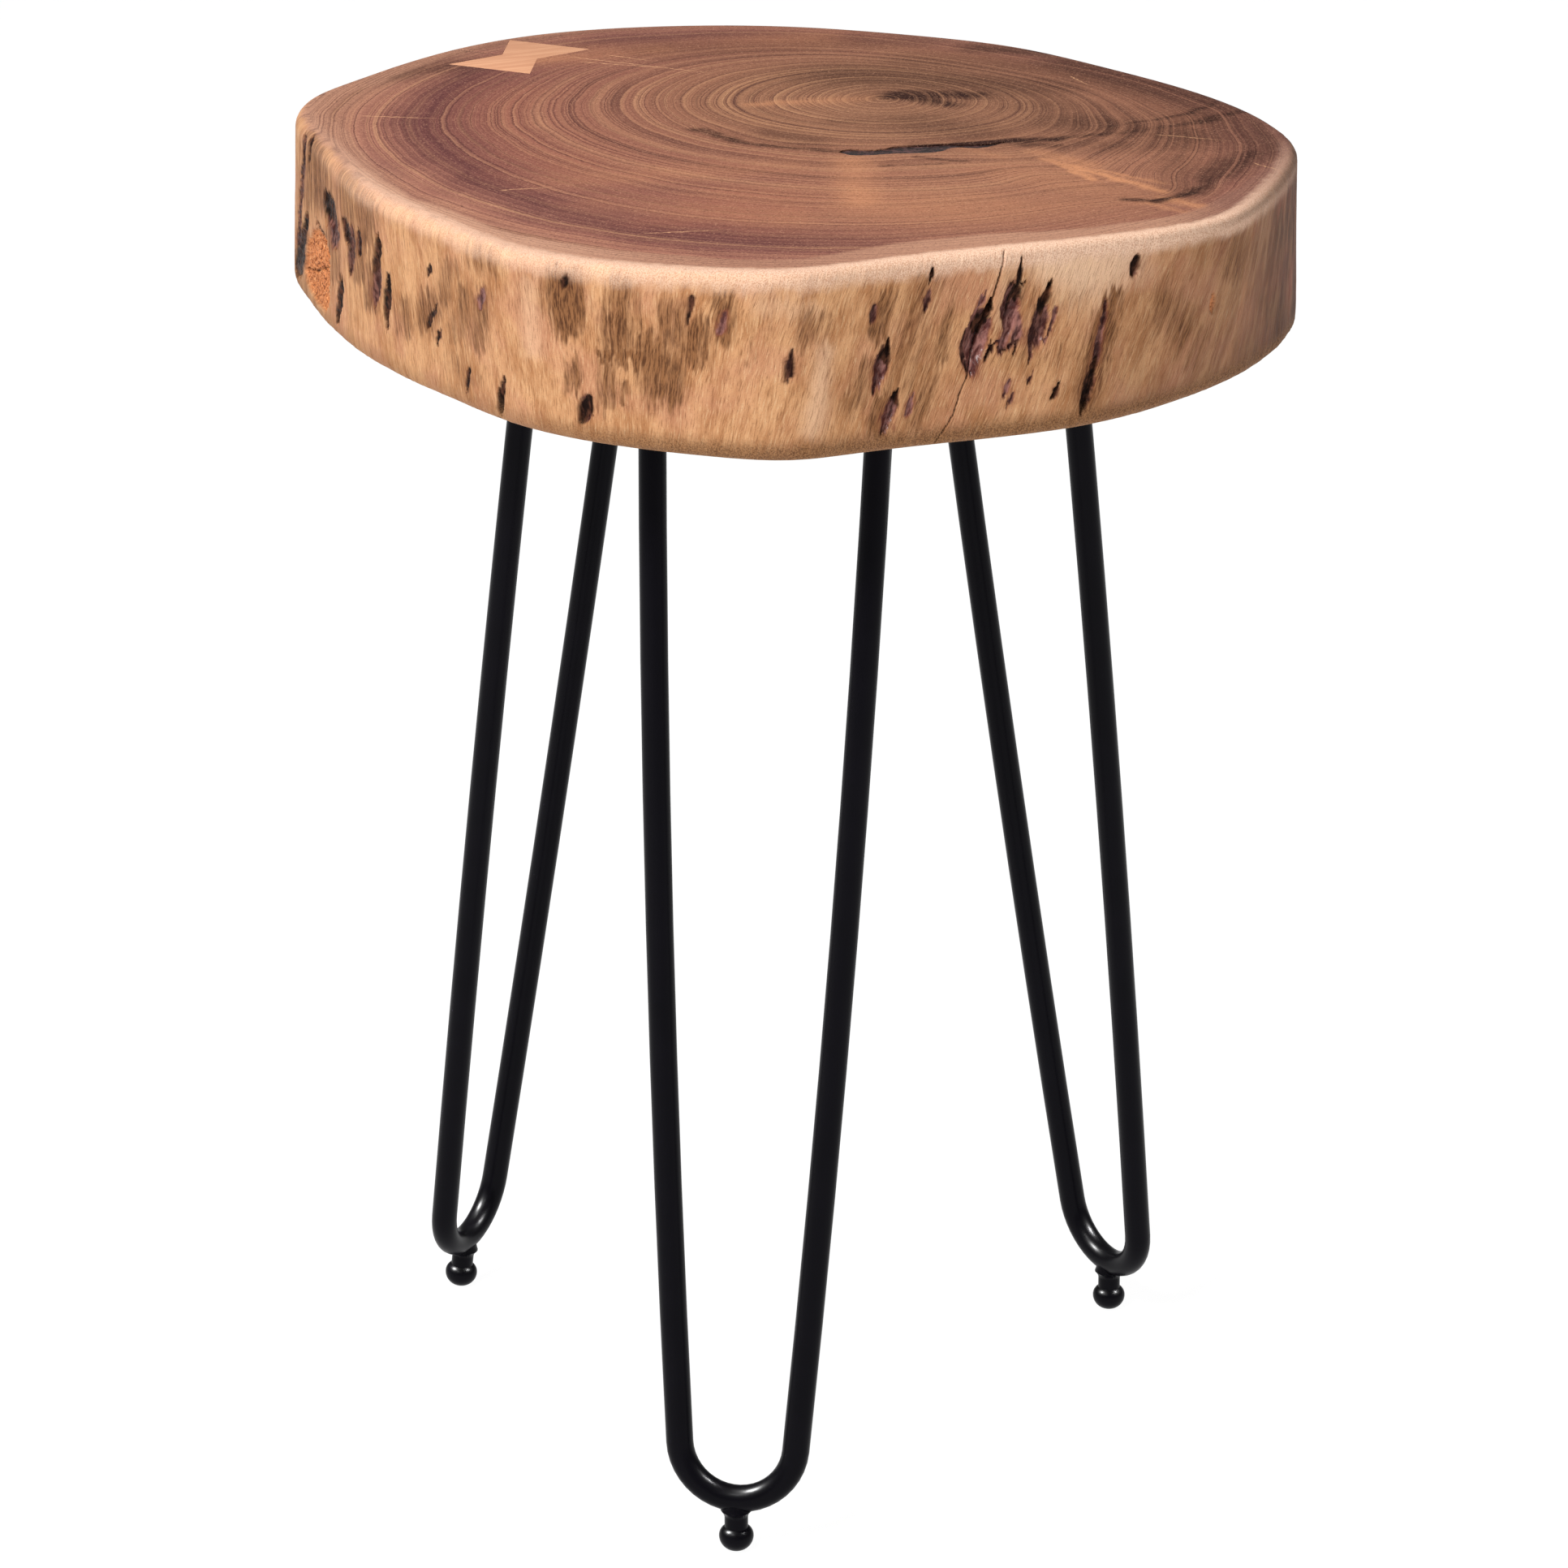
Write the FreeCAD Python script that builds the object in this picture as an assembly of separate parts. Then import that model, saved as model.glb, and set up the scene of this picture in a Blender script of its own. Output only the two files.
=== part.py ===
import FreeCAD, Part
import math
import os

from FreeCAD import Placement, Rotation, Vector

# A live edge side table: a cookie slab cut across a tree trunk, on three welded hairpin legs.
# Millimetres, Z up, floor at zero, origin on the floor under the middle of the slab's box.

# Slab
leg_height = 510.0
slab_thickness = 80.0
trunk_diameter = 440.0
top_edge_round = 6.0
bottom_edge_round = 5.0

# The live edge, followed round the trunk: bearing in degrees from the right-hand side, then the
# reach at the top face and at the underside, as shares of half the trunk's diameter
live_edge_shares = [
    (0, 1.005, 1.014), (15, 0.968, 0.982), (30, 0.936, 0.950), (45, 0.932, 0.945),
    (60, 0.968, 0.982), (75, 0.991, 1.005), (90, 1.036, 1.050), (105, 1.073, 1.086),
    (120, 1.095, 1.105), (135, 1.068, 1.082), (150, 1.041, 1.055), (161, 1.041, 1.064),
    (171, 0.995, 1.000), (183, 0.927, 0.932), (197, 0.905, 0.895), (211, 0.918, 0.882),
    (226, 0.950, 0.900), (240, 1.023, 0.955), (251, 1.050, 0.986), (262, 1.055, 1.014),
    (271, 1.050, 1.027), (278, 1.009, 0.991), (291, 0.968, 0.964), (303, 0.986, 0.977),
    (313, 1.027, 0.982), (321, 1.055, 0.982), (331, 1.036, 0.991), (345, 1.014, 1.005),
]

# Bark pits in the live edge, pointed at both ends: the bearing and height of the low end, the same
# two of the high end, and the width, with heights and widths as shares of the slab's thickness
bark_pit_shares = [
    (187.5, 0.53, 188.0, 0.76, 0.075),
    (208.0, 0.37, 210.5, 0.78, 0.062),
    (235.0, 0.09, 236.0, 0.25, 0.050),
    (247.5, 0.10, 248.0, 0.29, 0.094),
    (270.0, 0.41, 270.2, 0.58, 0.062),
    (279.6, 0.32, 280.6, 0.59, 0.094),
    (280.4, 0.11, 281.7, 0.32, 0.088),
    (290.0, 0.35, 292.1, 0.76, 0.150),
    (294.6, 0.46, 295.4, 0.90, 0.112),
    (298.0, 0.39, 299.3, 0.81, 0.100),
    (309.8, 0.76, 309.9, 0.90, 0.062),
    (304.6, 0.12, 305.9, 0.43, 0.062),
]

# How far a pit's points stand proud of the wall, as a share of its width
pit_lift = 0.15

# Butterfly key, let in across a drying check that runs from the rim towards the pith
key_bearing = 128.1
key_angle = 63.0
key_rim_margin = 7.0
key_length = 57.0
key_end_width = 43.0
key_waist_width = 18.5
key_depth = 14.0
key_gap = 0.1
check_rim_width = 1.6
check_depth = 32.0
check_inner_reach = 95.0
check_outer_reach = 60.0

# Resin poured into the bark inclusion beside the pith: its two ends, and marks on its front and back
# banks, along the line between the ends and to the left of it, as shares of that line's length
fill_start = (22.0, -28.0)
fill_end = (95.0, -8.0)
fill_front_shares = [
    (0.10, -0.110), (0.28, -0.112), (0.45, -0.145), (0.58, -0.125), (0.67, -0.066), (0.77, -0.107),
    (0.88, -0.090),
]
fill_back_shares = [
    (0.90, -0.026), (0.76, -0.020), (0.64, 0.024), (0.51, 0.026), (0.36, 0.051), (0.22, 0.008),
    (0.08, 0.053),
]
fill_depth = 9.0

# Three legs. Where each one's plate sits under the slab: its bearing, and its reach from the
# middle as a share of half the trunk's diameter
leg_names = ("front", "left", "right")
leg_bearings = (265.5, 148.5, 13.0)
leg_reach_shares = (0.539, 0.495, 0.450)

# The way each leg faces, and how far its ball foot was welded off the vertical, in degrees
leg_facing_angles = (259.0, 155.0, 34.0)
foot_tilt_angles = (0.0, 7.0, 0.0)

# Hairpins
rod_diameter = 12.0
rod_spacing = 98.0
bend_radius = 26.0
splay_at_bend = 4.3
leg_outreach = 70.0

# Ball feet
foot_height = 18.5
ball_diameter = 15.3
ball_equator = 6.8
ball_height = 11.0
neck_diameter = 10.4
foot_flat_depth = 0.2

# Mounting plates and welds
plate_width = 50.0
plate_thickness = 4.0
plate_corner = 9.0
plate_margin = 5.0
plate_weld_leg = 5.0
plate_weld_throat = 0.8
foot_weld_drop = 3.5
foot_weld_spread = 1.8
foot_weld_rise = 0.6
foot_weld_hollow = 0.5

# Wood screws
screw_length = 34.0
shank_diameter = 4.5
screw_tip = 6.0
head_diameter = 9.0
head_height = 3.2
screw_edge = 10.0
driver_gap = 4.0
plate_hole_gap = 1.0
pilot_gap = 0.2
pilot_spare = 2.0

trunk_radius = trunk_diameter / 2
top_level = leg_height + slab_thickness
plate_underside = leg_height - plate_thickness
rod_radius = rod_diameter / 2
bend_height = foot_height + rod_radius
leg_drop = plate_underside - bend_height
leg_slope = math.hypot(leg_drop, leg_outreach)
trim_size = 2 * leg_slope
lean = math.atan2(leg_outreach, leg_drop)
plate_length = rod_spacing + rod_diameter + 2 * (plate_weld_leg + plate_margin)
screw_across = rod_spacing / 2 - rod_radius - plate_weld_leg - head_diameter / 2 - driver_gap
screw_along = plate_width / 2 - screw_edge


def polar(bearing, reach, level):
    angle = math.radians(bearing)
    return Vector(reach * math.cos(angle), reach * math.sin(angle), level)


def prism(outline, top, depth):
    """A closed run of edges in plan, cut down from a level to a depth."""
    face = Part.Face(Part.Wire(outline))
    face.translate(Vector(0, 0, top - depth))
    return face.extrude(Vector(0, 0, depth))


def turned(edges):
    """A solid turned about Z from a closed half profile in the XZ plane."""
    return Part.Face(Part.Wire(edges)).revolve(Vector(0, 0, 0), Vector(0, 0, 1), 360)


def run_of_lines(points):
    return [Part.makeLine(a, b) for a, b in zip(points, points[1:])]


def live_edge_wire(column, level):
    """The trunk's outline at one level, smooth all the way round, in one edge for every two rows."""
    points = [polar(row[0], trunk_radius * row[column], level) for row in live_edge_shares]
    stations = [float(row[0]) for row in live_edge_shares] + [360.0]
    curve = Part.BSplineCurve()
    curve.interpolate(Points=points, PeriodicFlag=True, Parameters=stations)
    joins = stations[:-1:2] + stations[-1:]
    return Part.Wire([curve.toShape(start, end) for start, end in zip(joins, joins[1:])])


def level_edges(shape, level):
    return [edge for edge in shape.Edges if all(abs(v.Z - level) < 1e-6 for v in edge.Vertexes)]


def slab_blank():
    """The sawn and sanded slab, its arrises rounded, centred by its own box."""
    outlines = [live_edge_wire(2, leg_height), live_edge_wire(1, top_level)]
    slab = Part.makeLoft(outlines, True, True)
    slab = slab.makeFillet(top_edge_round, level_edges(slab, top_level))
    slab = slab.makeFillet(bottom_edge_round, level_edges(slab, leg_height))
    middle = slab.optimalBoundingBox(False, False).Center
    slab.translate(Vector(-middle.x, -middle.y, 0))
    return slab


def wall_reach(blank, bearing, level):
    """How far from the slab's middle the live edge is, on one bearing at one level."""
    line = Part.makeLine(Vector(0, 0, level), polar(bearing, blank.BoundBox.DiagonalLength, level))
    inside = blank.common(line)
    return max(math.hypot(corner.X, corner.Y) for corner in inside.Vertexes)


def bark_pit(blank, low_end, high_end, width_share):
    """A spindle-shaped hollow laid in the wall, its two points just proud of the surface."""
    width = width_share * slab_thickness
    ends = []
    for bearing, share in (low_end, high_end):
        level = leg_height + share * slab_thickness
        ends.append(polar(bearing, wall_reach(blank, bearing, level) + pit_lift * width, level))
    low, high = ends
    length = (high - low).Length
    bulge = Vector(width / 2, 0, length / 2)
    side = Part.Arc(Vector(0, 0, 0), bulge, Vector(0, 0, length)).toShape()
    spindle = turned([side, Part.makeLine(Vector(0, 0, length), Vector(0, 0, 0))])
    spindle.Placement = Placement(low, Rotation(Vector(0, 0, 1), high - low))
    return spindle


def flat_prism(corners, depth):
    """A straight-sided plan, cut down from the top face."""
    points = [Vector(x, y, 0) for x, y in corners]
    return prism(run_of_lines(points + points[:1]), top_level, depth)


def bow_tie(gap):
    """The key, along X, or with a gap round its sides the pocket that it is let into."""
    end = key_length / 2 + gap
    wing = key_end_width / 2 + gap
    waist = key_waist_width / 2 + gap
    corners = [(-end, -wing), (-end, wing), (0, waist), (end, wing), (end, -wing), (0, -waist)]
    return flat_prism(corners, key_depth)


def drying_check():
    """The crack that the key holds shut, across it: open at the rim, closing towards the pith."""
    half = check_rim_width / 2
    corners = [(-half, check_outer_reach), (half, check_outer_reach), (0, -check_inner_reach)]
    return flat_prism(corners, check_depth)


def key_placement(blank):
    """Lays the key across the check, its outermost corner a margin in from the rim."""
    turn = math.radians(key_angle - key_bearing)
    corner = abs(key_length / 2 * math.cos(turn)) + abs(key_end_width / 2 * math.sin(turn))
    rim = wall_reach(blank, key_bearing, top_level - key_depth)
    middle = polar(key_bearing, rim - key_rim_margin - corner, 0)
    return Placement(middle, Rotation(Vector(0, 0, 1), key_angle))


def fill_bank(first, shares, last):
    """One ragged bank of the inclusion, from one of its ends through its marks to the other end."""
    start = Vector(*fill_start, 0)
    along = Vector(*fill_end, 0) - start
    across = Vector(-along.y, along.x, 0)
    marks = [start + along * share + across * side for share, side in shares]
    curve = Part.BSplineCurve()
    curve.interpolate([Vector(*first, 0)] + marks + [Vector(*last, 0)])
    return curve.toShape()


def resin_fill():
    """Resin in a ragged strip between two growth rings, flush with the top."""
    front = fill_bank(fill_start, fill_front_shares, fill_end)
    back = fill_bank(fill_end, fill_back_shares, fill_start)
    return prism([front, back], top_level, fill_depth)


def leg_placement(bearing, reach, facing):
    """Carries a leg drawn with X across the hairpin and Y outward to its place under the slab."""
    return Placement(polar(bearing, reach, 0), Rotation(Vector(0, 0, 1), facing - 90))


def placed(shape, placement):
    moved = shape.copy()
    moved.Placement = placement.multiply(shape.Placement)
    return moved


def on_hairpin(across, down):
    """A point of the leaning plane that the hairpin is bent in, measured from the plate."""
    return Vector(across, down * math.sin(lean), plate_underside - down * math.cos(lean))


def hairpin_side():
    """One side of the hairpin: the bend's end, a point half way up its bow, and its top."""
    splay = math.radians(splay_at_bend)
    foot = (bend_radius * math.cos(splay), leg_slope - bend_radius + bend_radius * math.sin(splay))
    top = (rod_spacing / 2, 0.0)
    chord = math.hypot(top[0] - foot[0], foot[1])
    chord_lean = math.atan2(top[0] - foot[0], foot[1])
    bow = chord / 2 * math.tan((splay - chord_lean) / 2)
    middle = ((foot[0] + top[0]) / 2 + bow * math.cos(chord_lean), foot[1] / 2 + bow * math.sin(chord_lean))
    top_lean = 2 * chord_lean - splay
    return foot, middle, top, top_lean


def trimming_block(level):
    """A block far wider than a leg, standing on a level, to trim a piece off flat."""
    corner = Vector(-trim_size / 2, -trim_size / 2, level)
    return Part.makeBox(trim_size, trim_size, trim_size, corner)


def hairpin_rod():
    """One round bar: up from the plate on one side, round the bend and back, trimmed to the plate."""
    foot, middle, top, top_lean = hairpin_side()
    overrun = (top[0] + rod_diameter * math.sin(top_lean), -rod_diameter * math.cos(top_lean))
    left = [on_hairpin(-across, down) for across, down in (overrun, top, middle, foot)]
    right = [on_hairpin(across, down) for across, down in (foot, middle, top, overrun)]
    path = Part.Wire([
        Part.makeLine(left[0], left[1]),
        Part.Arc(left[1], left[2], left[3]).toShape(),
        Part.Arc(left[3], on_hairpin(0, leg_slope), right[0]).toShape(),
        Part.Arc(right[0], right[1], right[2]).toShape(),
        Part.makeLine(right[2], right[3]),
    ])
    section = Part.Wire(Part.makeCircle(rod_radius, left[0], left[1] - left[0]))
    return path.makePipeShell([section], True, False).cut(trimming_block(plate_underside))


def plate_weld(rod):
    """A bead round each end of the rod, in the corner under the plate."""
    top, top_lean = hairpin_side()[2:]
    beads = []
    for side in (-1, 1):
        seat = on_hairpin(side * top[0], 0)
        down = on_hairpin(side * (top[0] - math.sin(top_lean)), math.cos(top_lean)) - seat
        start = seat - down * plate_weld_leg
        wide = rod_radius + 2 * plate_weld_leg
        bead = Part.makeCone(wide, rod_radius + plate_weld_throat, 2 * plate_weld_leg, start, down)
        beads.append(bead.cut(rod).cut(trimming_block(plate_underside)))
    return Part.makeCompound([solid for bead in beads for solid in bead.Solids])


def screw_seats():
    return [(x, y) for x in (-screw_across, screw_across) for y in (-screw_along, screw_along)]


def mounting_plate():
    """A flat plate with rounded corners and a clearance hole for each screw."""
    blank = Part.makeBox(plate_length, plate_width, plate_thickness)
    blank.translate(Vector(-plate_length / 2, -plate_width / 2, plate_underside))
    corners = [edge for edge in blank.Edges if abs(edge.tangentAt(edge.FirstParameter).z) > 0.5]
    plate = blank.makeFillet(plate_corner, corners)
    for x, y in screw_seats():
        hole = (shank_diameter + plate_hole_gap) / 2
        plate = plate.cut(Part.makeCylinder(hole, plate_thickness, Vector(x, y, plate_underside)))
    return plate


def plate_screws():
    """Pan-headed wood screws, heads against the plate's underside and points up in the slab."""
    head = head_diameter / 2
    shank = shank_diameter / 2
    crown = head - head_height
    dome = arc_from_equator(head, 0, crown, -head_height)
    top = [(crown, -head_height), (0, -head_height), (0, screw_length)]
    side = [(shank, screw_length - screw_tip), (shank, 0), (head, 0)]
    screw = turned([dome] + run_of_lines([Vector(x, 0, z) for x, z in top + side]))
    return Part.makeCompound([
        placed(screw, Placement(Vector(x, y, plate_underside), Rotation())) for x, y in screw_seats()
    ])


def pilot_holes():
    """The drilled holes that the screws are driven into, a little deeper than their points."""
    depth = screw_length - plate_thickness + pilot_spare
    radius = (shank_diameter + pilot_gap) / 2
    mouths = [Vector(x, y, leg_height) for x, y in screw_seats()]
    return Part.makeCompound([Part.makeCylinder(radius, depth, mouth) for mouth in mouths])


def arc_from_equator(radius, level, end_radius, end_level):
    """The ball's round from its equator, where it stands upright, to another point of the profile."""
    inset = radius - end_radius
    rise = end_level - level
    bend = (inset ** 2 + rise ** 2) / (2 * inset)
    half = math.atan2(rise, bend - inset) / 2
    middle = Vector(radius - bend + bend * math.cos(half), 0, level + bend * math.sin(half))
    return Part.Arc(Vector(radius, 0, level), middle, Vector(end_radius, 0, end_level)).toShape()


def foot_axis(tilt):
    """Stands a foot drawn on Z under the bend's lowest point, its foot end swung outward by a tilt."""
    bend = on_hairpin(0, leg_slope)
    swing = Rotation(Vector(1, 0, 0), tilt)
    return Placement(bend - swing.multVec(Vector(0, 0, bend_height + foot_flat_depth)), swing)


def ball_foot(rod, tilt):
    """A turned ball on a neck, saddled to the bend and flatted where it stands on the floor."""
    ball = ball_diameter / 2
    neck = neck_diameter / 2
    stem_top = bend_height
    lower = arc_from_equator(ball, ball_equator, 0, 0)
    upper = arc_from_equator(ball, ball_equator, neck, ball_height)
    rest = [(neck, ball_height), (neck, stem_top), (0, stem_top), (0, 0)]
    turning = turned([lower, upper] + run_of_lines([Vector(x, 0, z) for x, z in rest]))
    foot = placed(turning, foot_axis(tilt))
    return foot.cut(rod).cut(trimming_block(-trim_size))


def foot_weld(rod, foot, tilt):
    """A bead that flares from the neck into the underside of the bend."""
    neck = neck_diameter / 2
    seat = foot_height + foot_flat_depth
    low = Vector(neck, 0, seat - foot_weld_drop)
    edge = Vector(neck + foot_weld_spread, 0, seat + foot_weld_rise)
    hollow = (low + edge) / 2 - Vector(foot_weld_hollow, 0, 0)
    crown = Vector(neck, 0, seat + rod_radius)
    flare = Part.Arc(low, hollow, edge).toShape()
    rest = [edge, crown, Vector(0, 0, crown.z), Vector(0, 0, low.z), low]
    bead = placed(turned([flare] + run_of_lines(rest)), foot_axis(tilt))
    return bead.cut(rod).cut(foot)


def hairpin_leg(tilt):
    """The pieces of one welded leg, drawn at the origin, and the pilot holes for its screws."""
    rod = hairpin_rod()
    foot = ball_foot(rod, tilt)
    return {
        "hairpin_rod": rod,
        "mounting_plate": mounting_plate(),
        "plate_weld": plate_weld(rod),
        "ball_foot": foot,
        "foot_weld": foot_weld(rod, foot, tilt),
        "plate_screws": plate_screws(),
    }


def main():
    os.makedirs("parts", exist_ok=True)
    blank = slab_blank()
    key_place = key_placement(blank)
    pieces = {"resin_fill": resin_fill(), "butterfly_key": placed(bow_tie(0), key_place)}
    cuts = [pieces["resin_fill"], placed(bow_tie(key_gap), key_place), placed(drying_check(), key_place)]
    for low_bearing, low_share, high_bearing, high_share, width_share in bark_pit_shares:
        cuts.append(bark_pit(blank, (low_bearing, low_share), (high_bearing, high_share), width_share))
    stances = zip(leg_names, leg_bearings, leg_reach_shares, leg_facing_angles, foot_tilt_angles)
    for name, bearing, reach_share, facing, tilt in stances:
        place = leg_placement(bearing, reach_share * trunk_radius, facing)
        for piece, shape in hairpin_leg(tilt).items():
            pieces[piece + "_" + name] = placed(shape, place)
        cuts.append(placed(pilot_holes(), place))
    pieces["slab_top"] = blank.cut(cuts)
    for node, shape in pieces.items():
        shape.exportStep("parts/" + node + ".step")
        print(node, len(shape.Solids), "solids", round(shape.Volume / 1000, 2), "cm3")


main()
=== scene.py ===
# %% [markdown]
# # A live edge side table
#
# A cookie slab, sawn across a tree trunk, stands on three black hairpin legs. The CAD model holds every
# piece at its true size and place. This lesson dresses that model: it gives the slab its weathered
# edge and its growth rings, and the legs their black coat. Everything is in metres, in the CAD frame.

# %% Load the frame
import math

import bmesh
import bpy
import numpy as np
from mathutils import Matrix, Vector, noise
from mathutils.bvhtree import BVHTree
from mathutils.geometry import delaunay_2d_cdt


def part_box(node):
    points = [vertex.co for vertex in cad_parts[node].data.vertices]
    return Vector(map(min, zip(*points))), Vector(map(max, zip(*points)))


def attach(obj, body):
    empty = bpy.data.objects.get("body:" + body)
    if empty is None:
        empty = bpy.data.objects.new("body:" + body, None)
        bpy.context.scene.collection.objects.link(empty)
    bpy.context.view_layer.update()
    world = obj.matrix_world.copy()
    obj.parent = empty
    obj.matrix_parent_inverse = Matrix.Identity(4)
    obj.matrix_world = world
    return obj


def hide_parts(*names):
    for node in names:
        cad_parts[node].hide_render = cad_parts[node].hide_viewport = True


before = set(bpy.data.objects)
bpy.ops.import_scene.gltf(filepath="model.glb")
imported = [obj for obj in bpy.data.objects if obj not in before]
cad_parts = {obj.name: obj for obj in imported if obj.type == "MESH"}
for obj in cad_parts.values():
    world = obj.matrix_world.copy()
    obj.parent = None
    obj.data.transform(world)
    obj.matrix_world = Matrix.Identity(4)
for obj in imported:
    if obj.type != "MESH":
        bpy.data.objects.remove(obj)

mm = 0.001
scene = bpy.context.scene
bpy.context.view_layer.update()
slab_low, slab_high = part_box("slab_top")
slab_thickness = slab_high.z - slab_low.z

# %% [markdown]
# ## The camera
#
# The photograph was taken from a little above the table with a long lens. A camera can be matched by
# eye, but here its place was worked out from the straight legs and the feet, and is typed in as a real
# position, a pitch and a focal length in pixels of a square picture.

# %% Camera
picture_side = 1932
focal_pixels = 7000
camera_place = Vector((-1.7, -2422.5, 1171.7)) * mm
camera_pitch = math.radians(20.0)

camera = bpy.data.objects.new("camera", bpy.data.cameras.new("camera"))
camera.data.sensor_width = 36.0
camera.data.lens = camera.data.sensor_width * focal_pixels / picture_side
camera.location = camera_place
camera.rotation_euler = (math.pi / 2 - camera_pitch, 0, 0)
scene.collection.objects.link(camera)
scene.camera = camera


def seen_at(points):
    """Where rows of points show in the picture, across and down from its top left corner."""
    away = points - np.array(camera_place)
    ahead = away[:, 1] * math.cos(camera_pitch) - away[:, 2] * math.sin(camera_pitch)
    above = away[:, 1] * math.sin(camera_pitch) + away[:, 2] * math.cos(camera_pitch)
    middle = picture_side / 2
    return middle + focal_pixels * away[:, 0] / ahead, middle - focal_pixels * above / ahead


print("lens", round(camera.data.lens, 1), "mm")

# %% [markdown]
# ## Floor and light
#
# A product picture like this one is taken on a white sweep, lit so well that hardly any shadow shows.
# Many lamps could do that, but a floor that glows by itself is simpler and more even. A lamp at the front
# left gives the bright line along the rounded edge and leaves the right end darker, and a lamp above
# lights the top. Two strong lamps at the sides put the glints on the black legs, and light linking keeps
# them off the wood. The sky is only a dim grey, so that the glancing top face does not turn milky.

# %% Floor and lamps
floor_reach = 30.0
sky_strength = 0.2
lamps = {
    "key_lamp": {"place": (-0.75, -1.20, 1.60), "side": 0.4, "power": 20.5},
    "top_lamp": {"place": (-0.70, 0.20, 2.40), "side": 0.4, "power": 28.0},
    "left_glint": {"place": (-1.50, -0.20, 1.95), "side": 0.6, "power": 700.0},
    "right_glint": {"place": (1.40, -0.20, 1.95), "side": 0.6, "power": 500.0},
}
lamp_target = Vector((0.0, 0.0, slab_low.z))

corners = [(-floor_reach, -floor_reach, 0), (floor_reach, -floor_reach, 0), (floor_reach, floor_reach, 0),
           (-floor_reach, floor_reach, 0)]
floor_mesh = bpy.data.meshes.new("floor")
floor_mesh.from_pydata(corners, [], [(0, 1, 2, 3)])
floor = bpy.data.objects.new("floor", floor_mesh)
scene.collection.objects.link(floor)

scene.view_settings.view_transform = "Standard"
scene.world = bpy.data.worlds.new("studio")
scene.world.use_nodes = True
scene.world.node_tree.nodes["Background"].inputs["Color"].default_value = (1.0, 1.0, 1.0, 1.0)
scene.world.node_tree.nodes["Background"].inputs["Strength"].default_value = sky_strength

black_pieces = bpy.data.collections.new("black_pieces")
for lamp_name, lamp in lamps.items():
    light = bpy.data.lights.new(lamp_name, "AREA")
    light.size = lamp["side"]
    light.energy = lamp["power"]
    light_object = bpy.data.objects.new(lamp_name, light)
    light_object.location = lamp["place"]
    light_object.visible_camera = False
    if "glint" in lamp_name:
        light_object.visible_diffuse = False
        light_object.light_linking.receiver_collection = black_pieces
    aim = lamp_target - light_object.location
    light_object.rotation_euler = aim.to_track_quat("-Z", "Y").to_euler()
    scene.collection.objects.link(light_object)
print(len(lamps), "lamps")

# %% [markdown]
# ## Writing finishes as sums
#
# A finish is a tree of shader nodes. Wiring such a tree by hand is slow to read, so two small classes
# let it be written as Python: a Value is a socket that can be added and multiplied, and a Finish is
# one material that makes any node from its type, its settings and what goes into its sockets.

# %% Value, a socket in a sum
class Value:
    """A socket of a finish, so that shader maths reads as a sum."""

    def __init__(self, finish, socket):
        self.finish = finish
        self.socket = socket

    def maths(self, operation, first, second):
        return self.finish.node("Math", {"operation": operation}, {0: first, 1: second})

    def __add__(self, other):
        return self.maths("ADD", self, other)

    def __sub__(self, other):
        return self.maths("SUBTRACT", self, other)

    def __rsub__(self, other):
        return self.maths("SUBTRACT", other, self)

    def __mul__(self, other):
        return self.maths("MULTIPLY", self, other)

    def __truediv__(self, other):
        return self.maths("DIVIDE", self, other)

    __radd__ = __add__
    __rmul__ = __mul__


print("Value:", Value.__doc__)

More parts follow.
